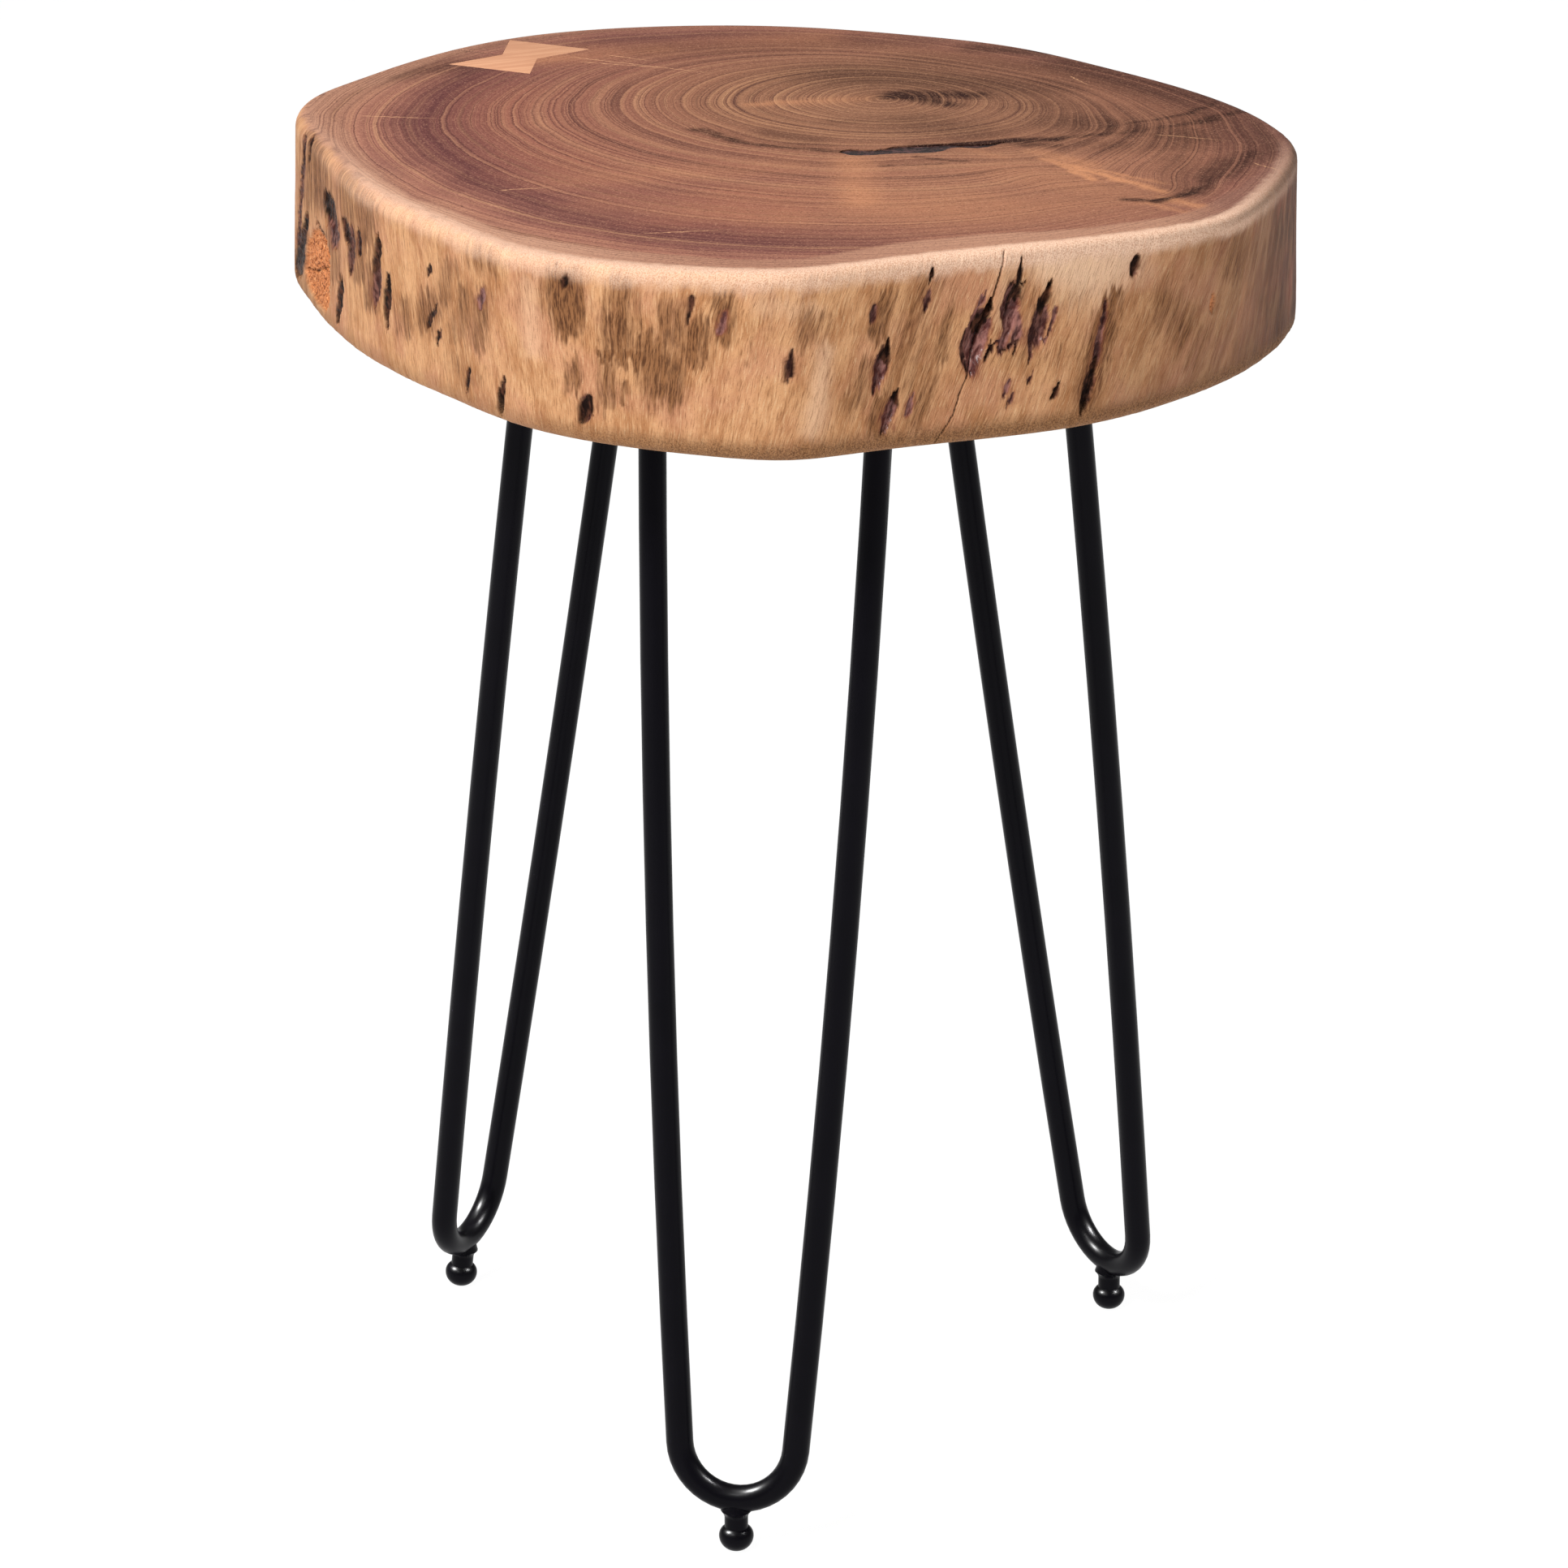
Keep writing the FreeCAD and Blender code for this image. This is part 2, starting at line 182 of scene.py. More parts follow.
# %% Finish, a material
class Finish:
    """A material on one Principled shader, with one method that adds any node to it."""

    def __init__(self, name):
        self.material = bpy.data.materials.new(name)
        self.material.use_nodes = True
        self.tree = self.material.node_tree
        self.shader = self.tree.nodes["Principled BSDF"]

    def feed(self, socket, value):
        if isinstance(value, Value):
            self.tree.links.new(value.socket, socket)
        else:
            socket.default_value = value

    def node(self, kind, settings, inputs, output=0):
        made = self.tree.nodes.new("ShaderNode" + kind)
        for name, value in settings.items():
            if name == "stops":
                marks = made.color_ramp.elements
                while len(marks) < len(value):
                    marks.new(1.0)
                for mark, (place, colour) in zip(marks, value):
                    mark.position = place
                    mark.color = colour
            else:
                setattr(made, name, value)
        for name, value in inputs.items():
            self.feed(made.inputs[name], value)
        return Value(self, made.outputs[output])

    def surface(self, **sockets):
        """Sets or links sockets of the shader, named in lower case with underscores."""
        for name, value in sockets.items():
            socket = self.shader.inputs[name.replace("_", " ").title().replace("Ior", "IOR")]
            self.feed(socket, value)

    def place(self):
        return self.node("TexCoord", {}, {}, "Object")

    def painted(self, layer):
        """A layer of numbers that the mesh carries, point by point."""
        return self.node("Attribute", {"attribute_name": layer}, {}, "Fac")

    def stretched(self, place, x, y, z):
        """A place scaled along each axis. A small number draws the noise out along that axis."""
        return self.node("VectorMath", {"operation": "MULTIPLY"}, {0: place, 1: (x, y, z)})

    def cloud(self, place, scale, detail=2.0, roughness=0.5):
        """Soft noise about one half, in lumps of one over the scale, in metres."""
        settings = {"noise_dimensions": "3D"}
        inputs = {"Vector": place, "Scale": scale, "Detail": detail, "Roughness": roughness}
        return self.node("TexNoise", settings, inputs)

    def bands(self, along, scale, detail=2.0, roughness=0.5):
        """The same noise along one value only, for rings and stripes."""
        settings = {"noise_dimensions": "1D"}
        inputs = {"W": along, "Scale": scale, "Detail": detail, "Roughness": roughness}
        return self.node("TexNoise", settings, inputs)

    def step(self, value, low, high):
        """Goes smoothly from 0 to 1 as a value goes from low to high."""
        inputs = {"Value": value, "From Min": low, "From Max": high}
        return self.node("MapRange", {"interpolation_type": "SMOOTHSTEP"}, inputs)

    def blend(self, first, second, share):
        """Goes from one colour to another. A Mix node has its colours at sockets 6 and 7, and out at 2."""
        return self.node("Mix", {"data_type": "RGBA"}, {0: share, 6: first, 7: second}, 2)

    def shades(self, value, stops):
        """A colour looked up along a ramp of stops, each a place from 0 to 1 and a colour."""
        return self.node("ValToRGB", {"stops": stops}, {"Fac": value})

    def raised(self, height, depth, strength):
        """Small relief, drawn by bending the light and not the mesh."""
        return self.node("Bump", {}, {"Height": height, "Distance": depth, "Strength": strength})


print("Finish:", Finish.__doc__)

# %% Colours and the floor's finish
def tint(red, green, blue):
    """A colour as it looks on a screen, 0 to 255, turned into the linear numbers that shaders take."""
    return tuple(((c / 255 + 0.055) / 1.055) ** 2.4 for c in (red, green, blue)) + (1.0,)


def pale_floor():
    paint = Finish("pale_floor")
    dust = paint.cloud(paint.place(), 3.0)
    paint.surface(base_color=paint.blend(tint(92, 92, 92), tint(100, 100, 100), dust), roughness=0.9)
    paint.surface(emission_color=(1.0, 1.0, 1.0, 1.0), emission_strength=0.97, specular_ior_level=0.0)
    return paint.material


floor_mesh.materials.append(pale_floor())
print("floor wears", floor_mesh.materials[0].name)

# %% [markdown]
# ## Measuring the live edge
#
# The slab's wall follows the trunk, so no simple shape fits it. The CAD solid already has the right
# wall, and rays shot at it from outside measure it on a fine grid of bearings and heights. A straight
# line up the wall is then fitted on each bearing, which passes over the bark pits. What a ray finds
# behind that line is how deep a pit is. The columns stand closest where the bark pockets are.

# %% Measure the wall
fine_zone = (272.0, 312.0)
fine_columns = 360
coarse_columns = 1400
top_round = 6.0 * mm
bottom_round = 5.0 * mm
probe_start = 0.4
probe_rows = 72

fine = np.linspace(*fine_zone, fine_columns, endpoint=False)
coarse = np.linspace(fine_zone[1], fine_zone[0] + 360, coarse_columns, endpoint=False)
bearings = np.radians(np.concatenate([fine, coarse]))
columns = len(bearings)
outward = np.stack([np.cos(bearings), np.sin(bearings)], axis=1)
probe_heights = np.linspace(bottom_round + mm, slab_thickness - top_round - mm, probe_rows)

slab_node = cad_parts["slab_top"].data
slab_skin = BVHTree.FromPolygons([v.co for v in slab_node.vertices], [p.vertices for p in slab_node.polygons])


def wall_reach(direction, height):
    """How far from the middle a ray from outside meets the solid, at a height above its underside."""
    start = Vector((direction[0] * probe_start, direction[1] * probe_start, slab_low.z + height))
    hit = slab_skin.ray_cast(start, Vector((-direction[0], -direction[1], 0)))[0]
    return math.hypot(hit.x, hit.y) if hit else 0.0


measured = np.array([[wall_reach(direction, height) for height in probe_heights] for direction in outward])
print(measured.size, "rays at the wall")

# %% Fit the sound wall
fit_rounds = 5
first_slack = 2.0 * mm
fit_slack = 0.35 * mm
skin_slack = 0.1 * mm
deepest_pit = 4.0 * mm

kept = measured > np.median(measured, axis=1, keepdims=True) - first_slack
for _ in range(fit_rounds):
    count = kept.sum(axis=1, keepdims=True)
    middle_height = (kept * probe_heights).sum(axis=1, keepdims=True) / count
    middle_reach = (kept * measured).sum(axis=1, keepdims=True) / count
    rise = probe_heights - middle_height
    lean = (kept * rise * (measured - middle_reach)).sum(axis=1, keepdims=True)
    lean = lean / (kept * rise * rise).sum(axis=1, keepdims=True)
    fitted = middle_reach + lean * rise
    kept = measured > fitted - fit_slack
pit_depths = np.clip(fitted - measured - skin_slack, 0, deepest_pit)


def sound_wall(column, height):
    """The wall without its pits, for arrays of columns and heights."""
    return middle_reach[column, 0] + lean[column, 0] * (height - middle_height[column, 0])


print(columns, "columns, deepest pit", round(pit_depths.max() / mm, 1), "mm")

# %% [markdown]
# ## Where the wall is marked
#
# The bark was stripped off by hand, which left pockets of bark, knots, soft brown stains and one torn
# patch on the left, and the sander left the bulges pale; where the bulges catch the light, a painted
# highlight makes them paler still. The marks could be placed by bearing and height, but it is easier to
# say where each one shows in the picture, since the camera is known: a mark follows a spine of points,
# across and down in the picture, with half its width at each. The far side gets a few more marks of the
# same kind.

# %% Bark pockets, as depth, redness and spine
bark_pockets = [
    (2.6, 0.0, [(1222, 368, 1.5), (1219, 380, 5), (1212, 392, 7), (1206, 404, 8), (1206, 416, 4)]),
    (1.2, 0.9, [(1221, 394, 2), (1219, 408, 3), (1213, 419, 3)]),
    (1.6, 1.0, [(1206, 422, 6), (1202, 436, 10), (1199, 446, 9), (1198, 456, 7), (1197, 463, 2)]),
    (1.8, 0.4, [(1192, 406, 1.5), (1187, 424, 3), (1187, 440, 4), (1191, 456, 3)]),
    (1.6, 0.3, [(1214, 444, 2), (1219, 432, 3), (1225, 423, 2), (1238, 417, 1.5)]),
    (0.5, 0.9, [(1217, 355, 1), (1209, 372, 3), (1203, 386, 1.5)]),
    (0.9, 0.1, [(1261, 314, 1), (1258, 330, 2.5), (1256, 344, 3.5)]),
    (1.6, 0.1, [(1247, 352, 2), (1255, 350, 4), (1264, 352, 2)]),
    (2.4, 0.0, [(1255, 356, 5), (1252, 368, 7), (1248, 380, 6), (1245, 392, 3)]),
    (1.2, 1.0, [(1254, 374, 3), (1248, 392, 4), (1243, 408, 5), (1237, 422, 6), (1233, 434, 3)]),
    (1.0, 0.7, [(1256, 386, 2), (1256, 398, 4), (1255, 411, 7), (1251, 424, 5), (1244, 431, 3)]),
    (1.4, 0.4, [(1231, 428, 2), (1238, 434, 2.5), (1256, 424, 2), (1250, 440, 1)]),
    (2.4, 0.1, [(1297, 346, 1.5), (1293, 356, 5), (1288, 370, 7), (1283, 384, 8), (1279, 394, 7)]),
    (2.0, 0.5, [(1280, 394, 5), (1276, 408, 8), (1273, 420, 6), (1271, 432, 3.5), (1268, 447, 1)]),
    (0.9, 0.7, [(1302, 376, 1.5), (1299, 388, 3.5), (1296, 400, 2), (1293, 413, 2.5), (1286, 421, 2)]),
    (2.2, 0.1, [(1095, 419, 2), (1091, 436, 7), (1087, 450, 8), (1084, 458, 5)]),
    (1.8, 0.8, [(1087, 452, 4), (1082, 468, 6), (1078, 480, 4), (1076, 488, 1.5)]),
    (2.2, 0.2, [(1107, 480, 2), (1102, 496, 6), (1098, 506, 7)]),
    (1.8, 0.8, [(1098, 506, 5), (1093, 520, 7), (1088, 530, 4), (1085, 536, 1.5)]),
    (0.6, 1.0, [(1125, 486, 2), (1121, 498, 4), (1116, 514, 2)]),
    (1.4, 0.3, [(977, 432, 1.5), (975, 448, 5), (973, 462, 6), (970, 472, 2)]),
    (0.3, 1.0, [(894, 388, 3), (888, 402, 4), (884, 412, 2)]),
    (1.0, 0.2, [(1152, 328, 1.5), (1149, 340, 3), (1146, 350, 1.5)]),
    (0.9, 0.5, [(1145, 362, 2), (1143, 370, 4), (1139, 384, 1.5)]),
    (0.4, 0.5, [(1078, 380, 3), (1076, 390, 4), (1073, 400, 2)]),
    (1.4, 0.0, [(400, 236, 3), (404, 250, 8), (406, 264, 7), (410, 278, 6)]),
    (1.0, 0.5, [(409, 276, 5), (411, 292, 6), (412, 306, 3)]),
    (1.0, 0.2, [(422, 270, 3), (425, 285, 4), (428, 300, 3)]),
    (1.2, 0.4, [(431, 276, 2), (432, 300, 5), (431, 318, 5), (430, 338, 2)]),
    (0.6, 0.3, [(440, 284, 2), (441, 300, 3), (441, 316, 1.5)]),
    (1.8, 0.0, [(464, 290, 2), (464, 305, 5), (462, 325, 6), (463, 345, 6)]),
    (1.4, 0.5, [(464, 340, 5), (462, 362, 6), (460, 377, 2)]),
    (1.4, 0.1, [(478, 336, 2), (477, 352, 4), (476, 370, 5), (475, 390, 4), (475, 409, 1.5)]),
    (1.2, 0.1, [(418, 342, 2), (418, 360, 3.5), (416, 380, 3.5), (414, 398, 1.5)]),
    (1.0, 0.4, [(374, 165, 1.5), (372, 200, 2), (369, 250, 2), (366, 300, 2)]),
    (0.8, 0.1, [(386, 164, 1.5), (381, 178, 2), (379, 200, 1.2)]),
    (1.6, 0.0, [(377, 262, 2), (374, 280, 4), (370, 300, 5), (367, 320, 6), (365, 338, 6)]),
    (0.8, 0.2, [(388, 272, 1), (394, 282, 2), (400, 292, 1)]),
    (1.6, 0.1, [(620, 467, 2), (617, 484, 5), (616, 500, 5), (616, 511, 2)]),
    (0.5, 0.7, [(593, 358, 3), (592, 368, 5), (591, 378, 2)]),
    (0.5, 0.2, [(541, 408, 2), (539, 418, 3.5), (537, 426, 2)]),
    (0.5, 0.1, [(577, 456, 2), (575, 470, 3), (574, 484, 1.5)]),
    (0.4, 0.1, [(529, 326, 2), (528, 331, 3), (527, 337, 2)]),
    (0.4, 0.1, [(536, 375, 2), (530, 390, 4), (526, 402, 2)]),
    (1.4, 0.6, [(1365, 372, 1.5), (1361, 392, 3), (1354, 424, 4), (1350, 444, 5)]),
    (2.0, 0.2, [(1350, 444, 5), (1344, 468, 7), (1338, 490, 7), (1333, 508, 2)]),
    (1.6, 0.2, [(1306, 474, 2), (1302, 483, 4.5), (1297, 491, 2.5)]),
    (0.5, 0.9, [(1246, 468, 2), (1241, 478, 4), (1237, 490, 2)]),
    (0.7, 0.5, [(1249, 486, 2), (1246, 496, 3), (1242, 504, 1.5)]),
    (0.6, 0.5, [(1271, 460, 2), (1268, 467, 2.5), (1266, 472, 1)]),
]
print(len(bark_pockets), "bark pockets")

# %% Knots, the torn patch and cracks
# Knots have cleaner edges than the pockets, and the same numbers
knots = [
    (1.8, 0.2, [(1403, 317, 4), (1400, 327, 6.5), (1397, 338, 4)]),
    (2.0, 0.2, [(724, 492, 6), (721, 504, 10.5), (716, 519, 5)]),
    (0.9, 0.1, [(696, 342, 4), (694, 348, 6), (693, 352, 4)]),
    (1.2, 0.2, [(852, 368, 4.5), (851, 376, 5), (848, 390, 2), (846, 402, 1)]),
]
torn_patch = [
    (388, 287, 6), (389, 300, 13), (389, 316, 16), (389, 334, 16), (391, 350, 14), (396, 368, 9),
    (400, 381, 3),
]
orange_spot = [(1497, 365, 2), (1496, 372, 4), (1495, 379, 2)]
torn_crack = [(374, 331, 1.2), (388, 333, 1.6), (404, 328, 1.2)]
drying_crack = [(1239, 305, 1.2), (1237, 322, 1.2), (1230, 348, 1.2), (1223, 368, 1.2), (1192, 463, 1.1),
                (1184, 482, 0.9), (1175, 512, 0.7), (1153, 546, 0.6)]
edge_crack = [(694, 312, 1.2), (686, 322, 1.4), (681, 331, 0.9)]
print(len(knots), "knots")

# %% Stains, as strength and spine
stains = [
    (1.0, [(692, 346, 22), (697, 374, 27), (700, 398, 21)]), (0.6, [(706, 452, 10), (708, 472, 12)]),
    (0.7, [(766, 350, 18), (764, 380, 22)]), (0.85, [(762, 396, 24), (762, 424, 22)]),
    (0.9, [(742, 440, 11), (788, 442, 13)]), (0.8, [(796, 424, 18), (814, 450, 32), (820, 480, 26)]),
    (0.6, [(828, 384, 22), (830, 412, 24)]), (0.85, [(856, 404, 14), (852, 440, 16)]),
    (0.8, [(892, 372, 14), (890, 412, 15)]), (0.55, [(866, 404, 14), (864, 444, 12)]),
    (0.7, [(748, 462, 14), (746, 494, 13)]), (0.6, [(770, 476, 7), (767, 492, 6)]),
    (0.5, [(928, 428, 5), (925, 446, 6)]), (0.25, [(944, 362, 20), (936, 404, 20)]),
    (0.45, [(994, 392, 12), (990, 424, 12)]), (0.45, [(1018, 392, 12), (1010, 420, 16)]),
    (0.75, [(1090, 366, 13), (1082, 410, 14)]), (0.5, [(1168, 380, 10), (1160, 440, 12)]),
    (0.65, [(1072, 450, 12), (1050, 500, 16)]),
    (0.42, [(1150, 350, 30), (1128, 410, 40), (1120, 470, 36)]),
    (0.7, [(1088, 500, 12), (1080, 530, 14)]), (0.5, [(1140, 490, 14), (1126, 520, 14)]),
    (0.55, [(552, 330, 12), (548, 370, 14)]), (0.7, [(530, 368, 14), (526, 398, 14)]),
    (0.55, [(570, 366, 14), (566, 412, 16)]), (0.6, [(594, 366, 12), (588, 424, 14)]),
    (0.5, [(498, 370, 10), (496, 404, 12)]), (0.65, [(458, 330, 9), (456, 376, 9)]),
    (0.65, [(442, 290, 9), (440, 344, 9)]), (0.7, [(452, 250, 12), (450, 300, 12)]),
    (0.65, [(408, 276, 10), (411, 340, 8)]), (0.6, [(430, 222, 26), (440, 262, 26)]),
    (0.7, [(386, 170, 16), (390, 240, 20)]), (0.45, [(592, 314, 18), (606, 330, 16)]),
    (0.4, [(560, 450, 16), (580, 470, 16)]),
    (0.85, [(1378, 360, 8), (1362, 400, 15), (1350, 440, 17), (1338, 492, 14)]),
    (0.5, [(1440, 370, 24), (1452, 406, 28)]), (0.4, [(1484, 420, 20), (1470, 446, 18)]),
    (0.45, [(1520, 296, 20), (1522, 330, 24)]), (0.4, [(1310, 430, 5), (1306, 456, 6)]),
    (0.35, [(1268, 372, 30), (1256, 430, 30)]), (0.3, [(640, 350, 14), (644, 372, 14)]),
]
# Where the sander caught the wall's bulges and left it pale, with a painted highlight where the
# bulges and the rounded front right edge catch the light
sanded_and_highlight_patches = [
    (0.85, [(1296, 322, 30), (1340, 334, 44), (1386, 318, 32)]),
    (0.9, [(1150, 322, 5), (1250, 308, 7), (1350, 302, 10), (1440, 288, 10), (1490, 274, 5)]),
    (0.45, [(1017, 436, 13), (1010, 486, 15), (1002, 532, 16)]), (0.3, [(652, 350, 12), (654, 430, 14)]),
    (0.3, [(940, 376, 14), (1000, 384, 14)]), (0.3, [(1246, 340, 20), (1236, 400, 12)]),
]
print(len(stains), "stains,", len(sanded_and_highlight_patches), "sanded patches")

# %% Far side and spiral grain
# The picture does not show the far side, so marks are scattered there between two bearings
far_marks = 22
far_side = (350.0, 525.0)

# How far the fibres lean to the right as they rise, by bearing
grain_bearings = (0, 60, 200, 250, 272, 290, 312, 335, 360)
grain_slopes = (0.1, 0.05, 0.0, 0.05, 0.25, 0.38, 0.3, 0.12, 0.1)
print(far_marks, "marks on the far side, steepest grain", max(grain_slopes))

# %% [markdown]
# ## The wall's relief
#
# Relief can be carved with cutters or pushed into a fine grid. A fine grid is safer and gives the
# soft lips of sanded wood, so each grid point is moved inward by the pits, the pockets, the cracks, the
# tool's long waves and the fibres. Nothing moves outward, so the wall stays inside the CAD solid.

# %% Noise, steps and spines
far_outside = -9.0


def rough(points, period, octaves=3):
    """Lumpy noise between about -1 and 1, with lumps of one period, for rows of points."""
    return np.array([noise.fractal(point, 1.0, 2.0, octaves) for point in (points / period).tolist()])


def smooth(value, low, high):
    """Goes smoothly from 0 to 1 as values go from low to high."""
    share = np.clip((value - low) / (high - low), 0, 1)
    return share * share * (3 - 2 * share)


def along_spine(across, down, spine):
    """How deep in a mark each place is, 1 on its spine and 0 at its edge, and how far along it."""
    depth = np.full(len(across), far_outside)
    share = np.zeros(len(across))
    for part, ((x, y, half), (next_x, next_y, next_half)) in enumerate(zip(spine, spine[1:])):
        run_x, run_y = next_x - x, next_y - y
        step = np.clip(((across - x) * run_x + (down - y) * run_y) / (run_x ** 2 + run_y ** 2), 0, 1)
        off = np.hypot(across - x - step * run_x, down - y - step * run_y)
        here = 1 - off / (half + step * (next_half - half))
        share = np.where(here > depth, (part + step) / (len(spine) - 1), share)
        depth = np.maximum(depth, here)
    return depth, share


print(sum(map(len, (bark_pockets, knots, stains, sanded_and_highlight_patches))), "marks lie along spines")

# %% Grid of the wall
wall_rows = 84
round_rows = 9
row_heights = np.linspace(0, 1, wall_rows)
round_steps = np.radians(np.linspace(0, 90, round_rows))
rows = len(row_heights) + 2 * (len(round_steps) - 1)
wall_share = np.concatenate([np.zeros(len(round_steps) - 1), row_heights, np.ones(len(round_steps) - 1)])
low_turn = np.concatenate([round_steps[:0:-1], np.zeros(rows - len(round_steps) + 1)])
high_turn = np.concatenate([np.zeros(rows - len(round_steps) + 1), round_steps[1:]])

# The sander took more off the top edge at the front left than at the front right
round_bearings = (0, 130, 200, 245, 280, 305, 330, 360)
round_radii = (5.5, 6.0, 7.0, 7.5, 6.0, 4.5, 5.0, 5.5)
edge_round = np.interp(np.degrees(bearings) % 360, round_bearings, round_radii) * mm

column_of, row_of = [grid.ravel() for grid in np.meshgrid(np.arange(columns), np.arange(rows), indexing="ij")]
bearing_of = bearings[column_of]
round_of = edge_round[column_of]
straight = slab_thickness - bottom_round - round_of
height_of = bottom_round + straight * wall_share[row_of]
height_of += round_of * np.sin(high_turn[row_of]) - bottom_round * np.sin(low_turn[row_of])
reach_of = sound_wall(column_of, height_of)
inset_of = round_of * (1 - np.cos(high_turn[row_of])) + bottom_round * (1 - np.cos(low_turn[row_of]))
sound_points = np.stack([
    reach_of * np.cos(bearing_of), reach_of * np.sin(bearing_of), height_of], axis=1)
print(columns * rows, "points on the wall")

# %% [markdown]
# ## Marks on the grid
#
# Each grid point is asked where it shows in the picture, and points that face away from the camera are
# sent out of it. Noise then shifts the places a little, so that the marks come out ragged, as torn bark is,
# and drawn out along the fibres. How deep a point lies in a mark gives its pit, bark, redness or stain.

# %% Where the wall shows in the picture
run_columns = 3
out_of_picture = -1000
wander = rough(sound_points, 7 * mm)
ragged = rough(sound_points + 3.0, 2.2 * mm)
sway = rough(sound_points + 9.0, 9 * mm)
strands = rough(sound_points * np.array([1, 1, 0.1]) + 6.0, 1.4 * mm)
skin_points = sound_points - np.stack([
    inset_of * np.cos(bearing_of), inset_of * np.sin(bearing_of),
    np.full(len(inset_of), -slab_low.z)], axis=1)
across, down = seen_at(skin_points)

outline = middle_reach * outward
outline_run = np.roll(outline, -run_columns, axis=0) - np.roll(outline, run_columns, axis=0)
to_wall = outline - np.array(camera_place)[:2]
facing = outline_run[:, 1] * to_wall[:, 0] - outline_run[:, 0] * to_wall[:, 1]
across = np.where(facing[column_of] < 0, across, out_of_picture)
stray_across = 1.2 * wander + 1.0 * ragged
stray_down = 3.0 * sway + 2.0 * ragged + 6.0 * strands
print(int((facing < 0).sum()), "columns face the camera")

# %% Pits and pockets on the grid
probe_column = np.interp(
    bearing_of + (0.9 * wander + 0.4 * ragged) * mm / reach_of,
    np.append(bearings, bearings[0] + 2 * math.pi), np.arange(columns + 1))
probe_row = np.interp(
    height_of + (1.6 * sway + 0.8 * ragged) * mm, probe_heights, np.arange(len(probe_heights)))
pit = pit_depths[np.round(probe_column).astype(int) % columns, np.round(probe_row).astype(int)]
bark = smooth(pit, 0.7 * mm, 1.5 * mm)
rosy = 0.55 * smooth(pit, 0.1 * mm, 0.8 * mm)
for marks, unrest in ((bark_pockets, 1.0), (knots, 0.2)):
    for depth, redness, spine in marks:
        inner, _ = along_spine(across + unrest * stray_across, down + unrest * stray_down, spine)
        pit = np.maximum(pit, depth * mm * smooth(inner, 0, 0.8))
        bark = np.maximum(bark, smooth(inner, -0.25, 0.35))
        rosy = np.maximum(rosy * smooth(-inner, -0.4, 0.0), redness * smooth(inner, -1.6, 0.1))
print("pits and pockets up to", round(pit.max() / mm, 1), "mm deep")

# %% Cracks and the torn patch
crack, _ = along_spine(across + 0.8 * wander + 0.5 * ragged, down, drying_crack)
short_crack, _ = along_spine(across + 0.8 * ragged, down, edge_crack)
patch_crack, _ = along_spine(across, down + 2.0 * ragged, torn_crack)
crack = smooth(np.maximum(np.maximum(crack, short_crack), patch_crack), -0.2, 0.7)
patch, _ = along_spine(across + 2.0 * ragged, down + 3.0 * ragged, torn_patch)
spot, _ = along_spine(across + stray_across, down + stray_down, orange_spot)
torn = np.maximum(smooth(patch, -0.04, 0.10), 0.7 * smooth(spot, 0, 0.5))
bark = bark * (1 - torn)
print("bark covers", round(100 * float((bark > 0.5).mean()), 1), "% of the wall")

# %% Stains on the grid
stain = np.zeros(len(reach_of))
for strength, spine in stains:
    inner, _ = along_spine(across + 3.0 * wander + 2.0 * strands, down + 16.0 * strands, spine)
    stain = np.maximum(stain, strength * smooth(inner, -0.9, 0.9))
# Pale patches: sanded wood, and partly a painted highlight.
sanded = np.zeros(len(reach_of))
for strength, spine in sanded_and_highlight_patches:
    inner, _ = along_spine(across + 3.0 * wander, down + 10.0 * strands, spine)
    sanded = np.maximum(sanded, strength * smooth(inner, -0.6, 0.9))
print("sanded patches cover", round(100 * float((sanded > 0.4).mean()), 1), "% of the wall")

# %% Marks of the far side
far_seed = 7
least_mark = (8, 8, 2.0, 0.4)
largest_mark = (45, 30, 6.0, 0.9)

seeded = np.random.default_rng(far_seed)
for _ in range(far_marks):
    place = math.radians(seeded.uniform(*far_side))
    foot, tall, wide, strength = seeded.uniform(least_mark, largest_mark) * mm
    around = (bearing_of - place + math.pi) % (2 * math.pi) - math.pi
    around = around * reach_of + (0.7 * wander + 0.6 * ragged) * mm
    upward = height_of + (1.6 * sway + ragged) * mm
    inner, share = along_spine(around, -upward, [
        (0.8 * mm, -foot - tall, 0.2 * wide), (0, -foot - 0.4 * tall, 0.5 * wide),
        (-0.8 * mm, -foot, 0.15 * wide)])
    pit = np.maximum(pit, 0.25 * wide * smooth(inner, 0, 0.8))
    bark = np.maximum(bark, smooth(inner, -0.15, 0.3))
    rosy = np.maximum(rosy, strength / mm * smooth(inner, -0.6, 0.1) * share)
    inner, _ = along_spine(around, -upward, [(0, -foot - tall, 1.6 * wide), (0, -foot, 2.2 * wide)])
    stain = np.maximum(stain, 0.7 * strength / mm * smooth(inner, -0.9, 0.9))
print("stains cover", round(100 * float((stain > 0.4).mean()), 1), "% of the wall")

# %% [markdown]
# ## Carving it
#
# The fibres are long and thin, so their noise is squeezed sideways and drawn out upward, after the
# bearings have been turned by the spiral grain. Bark pits get a crumbly floor. The relief fades out at
# the top face, so that the rounded edge ends in a clean line.

# %% Carve the wall
trunk_reach = 0.215
fibre_draw = 0.08
wave_depth = 0.9 * mm
fibre_depth = 0.14 * mm
crumb_depth = 0.40 * mm
crack_depth = 1.4 * mm
edge_depth = 0.3 * mm

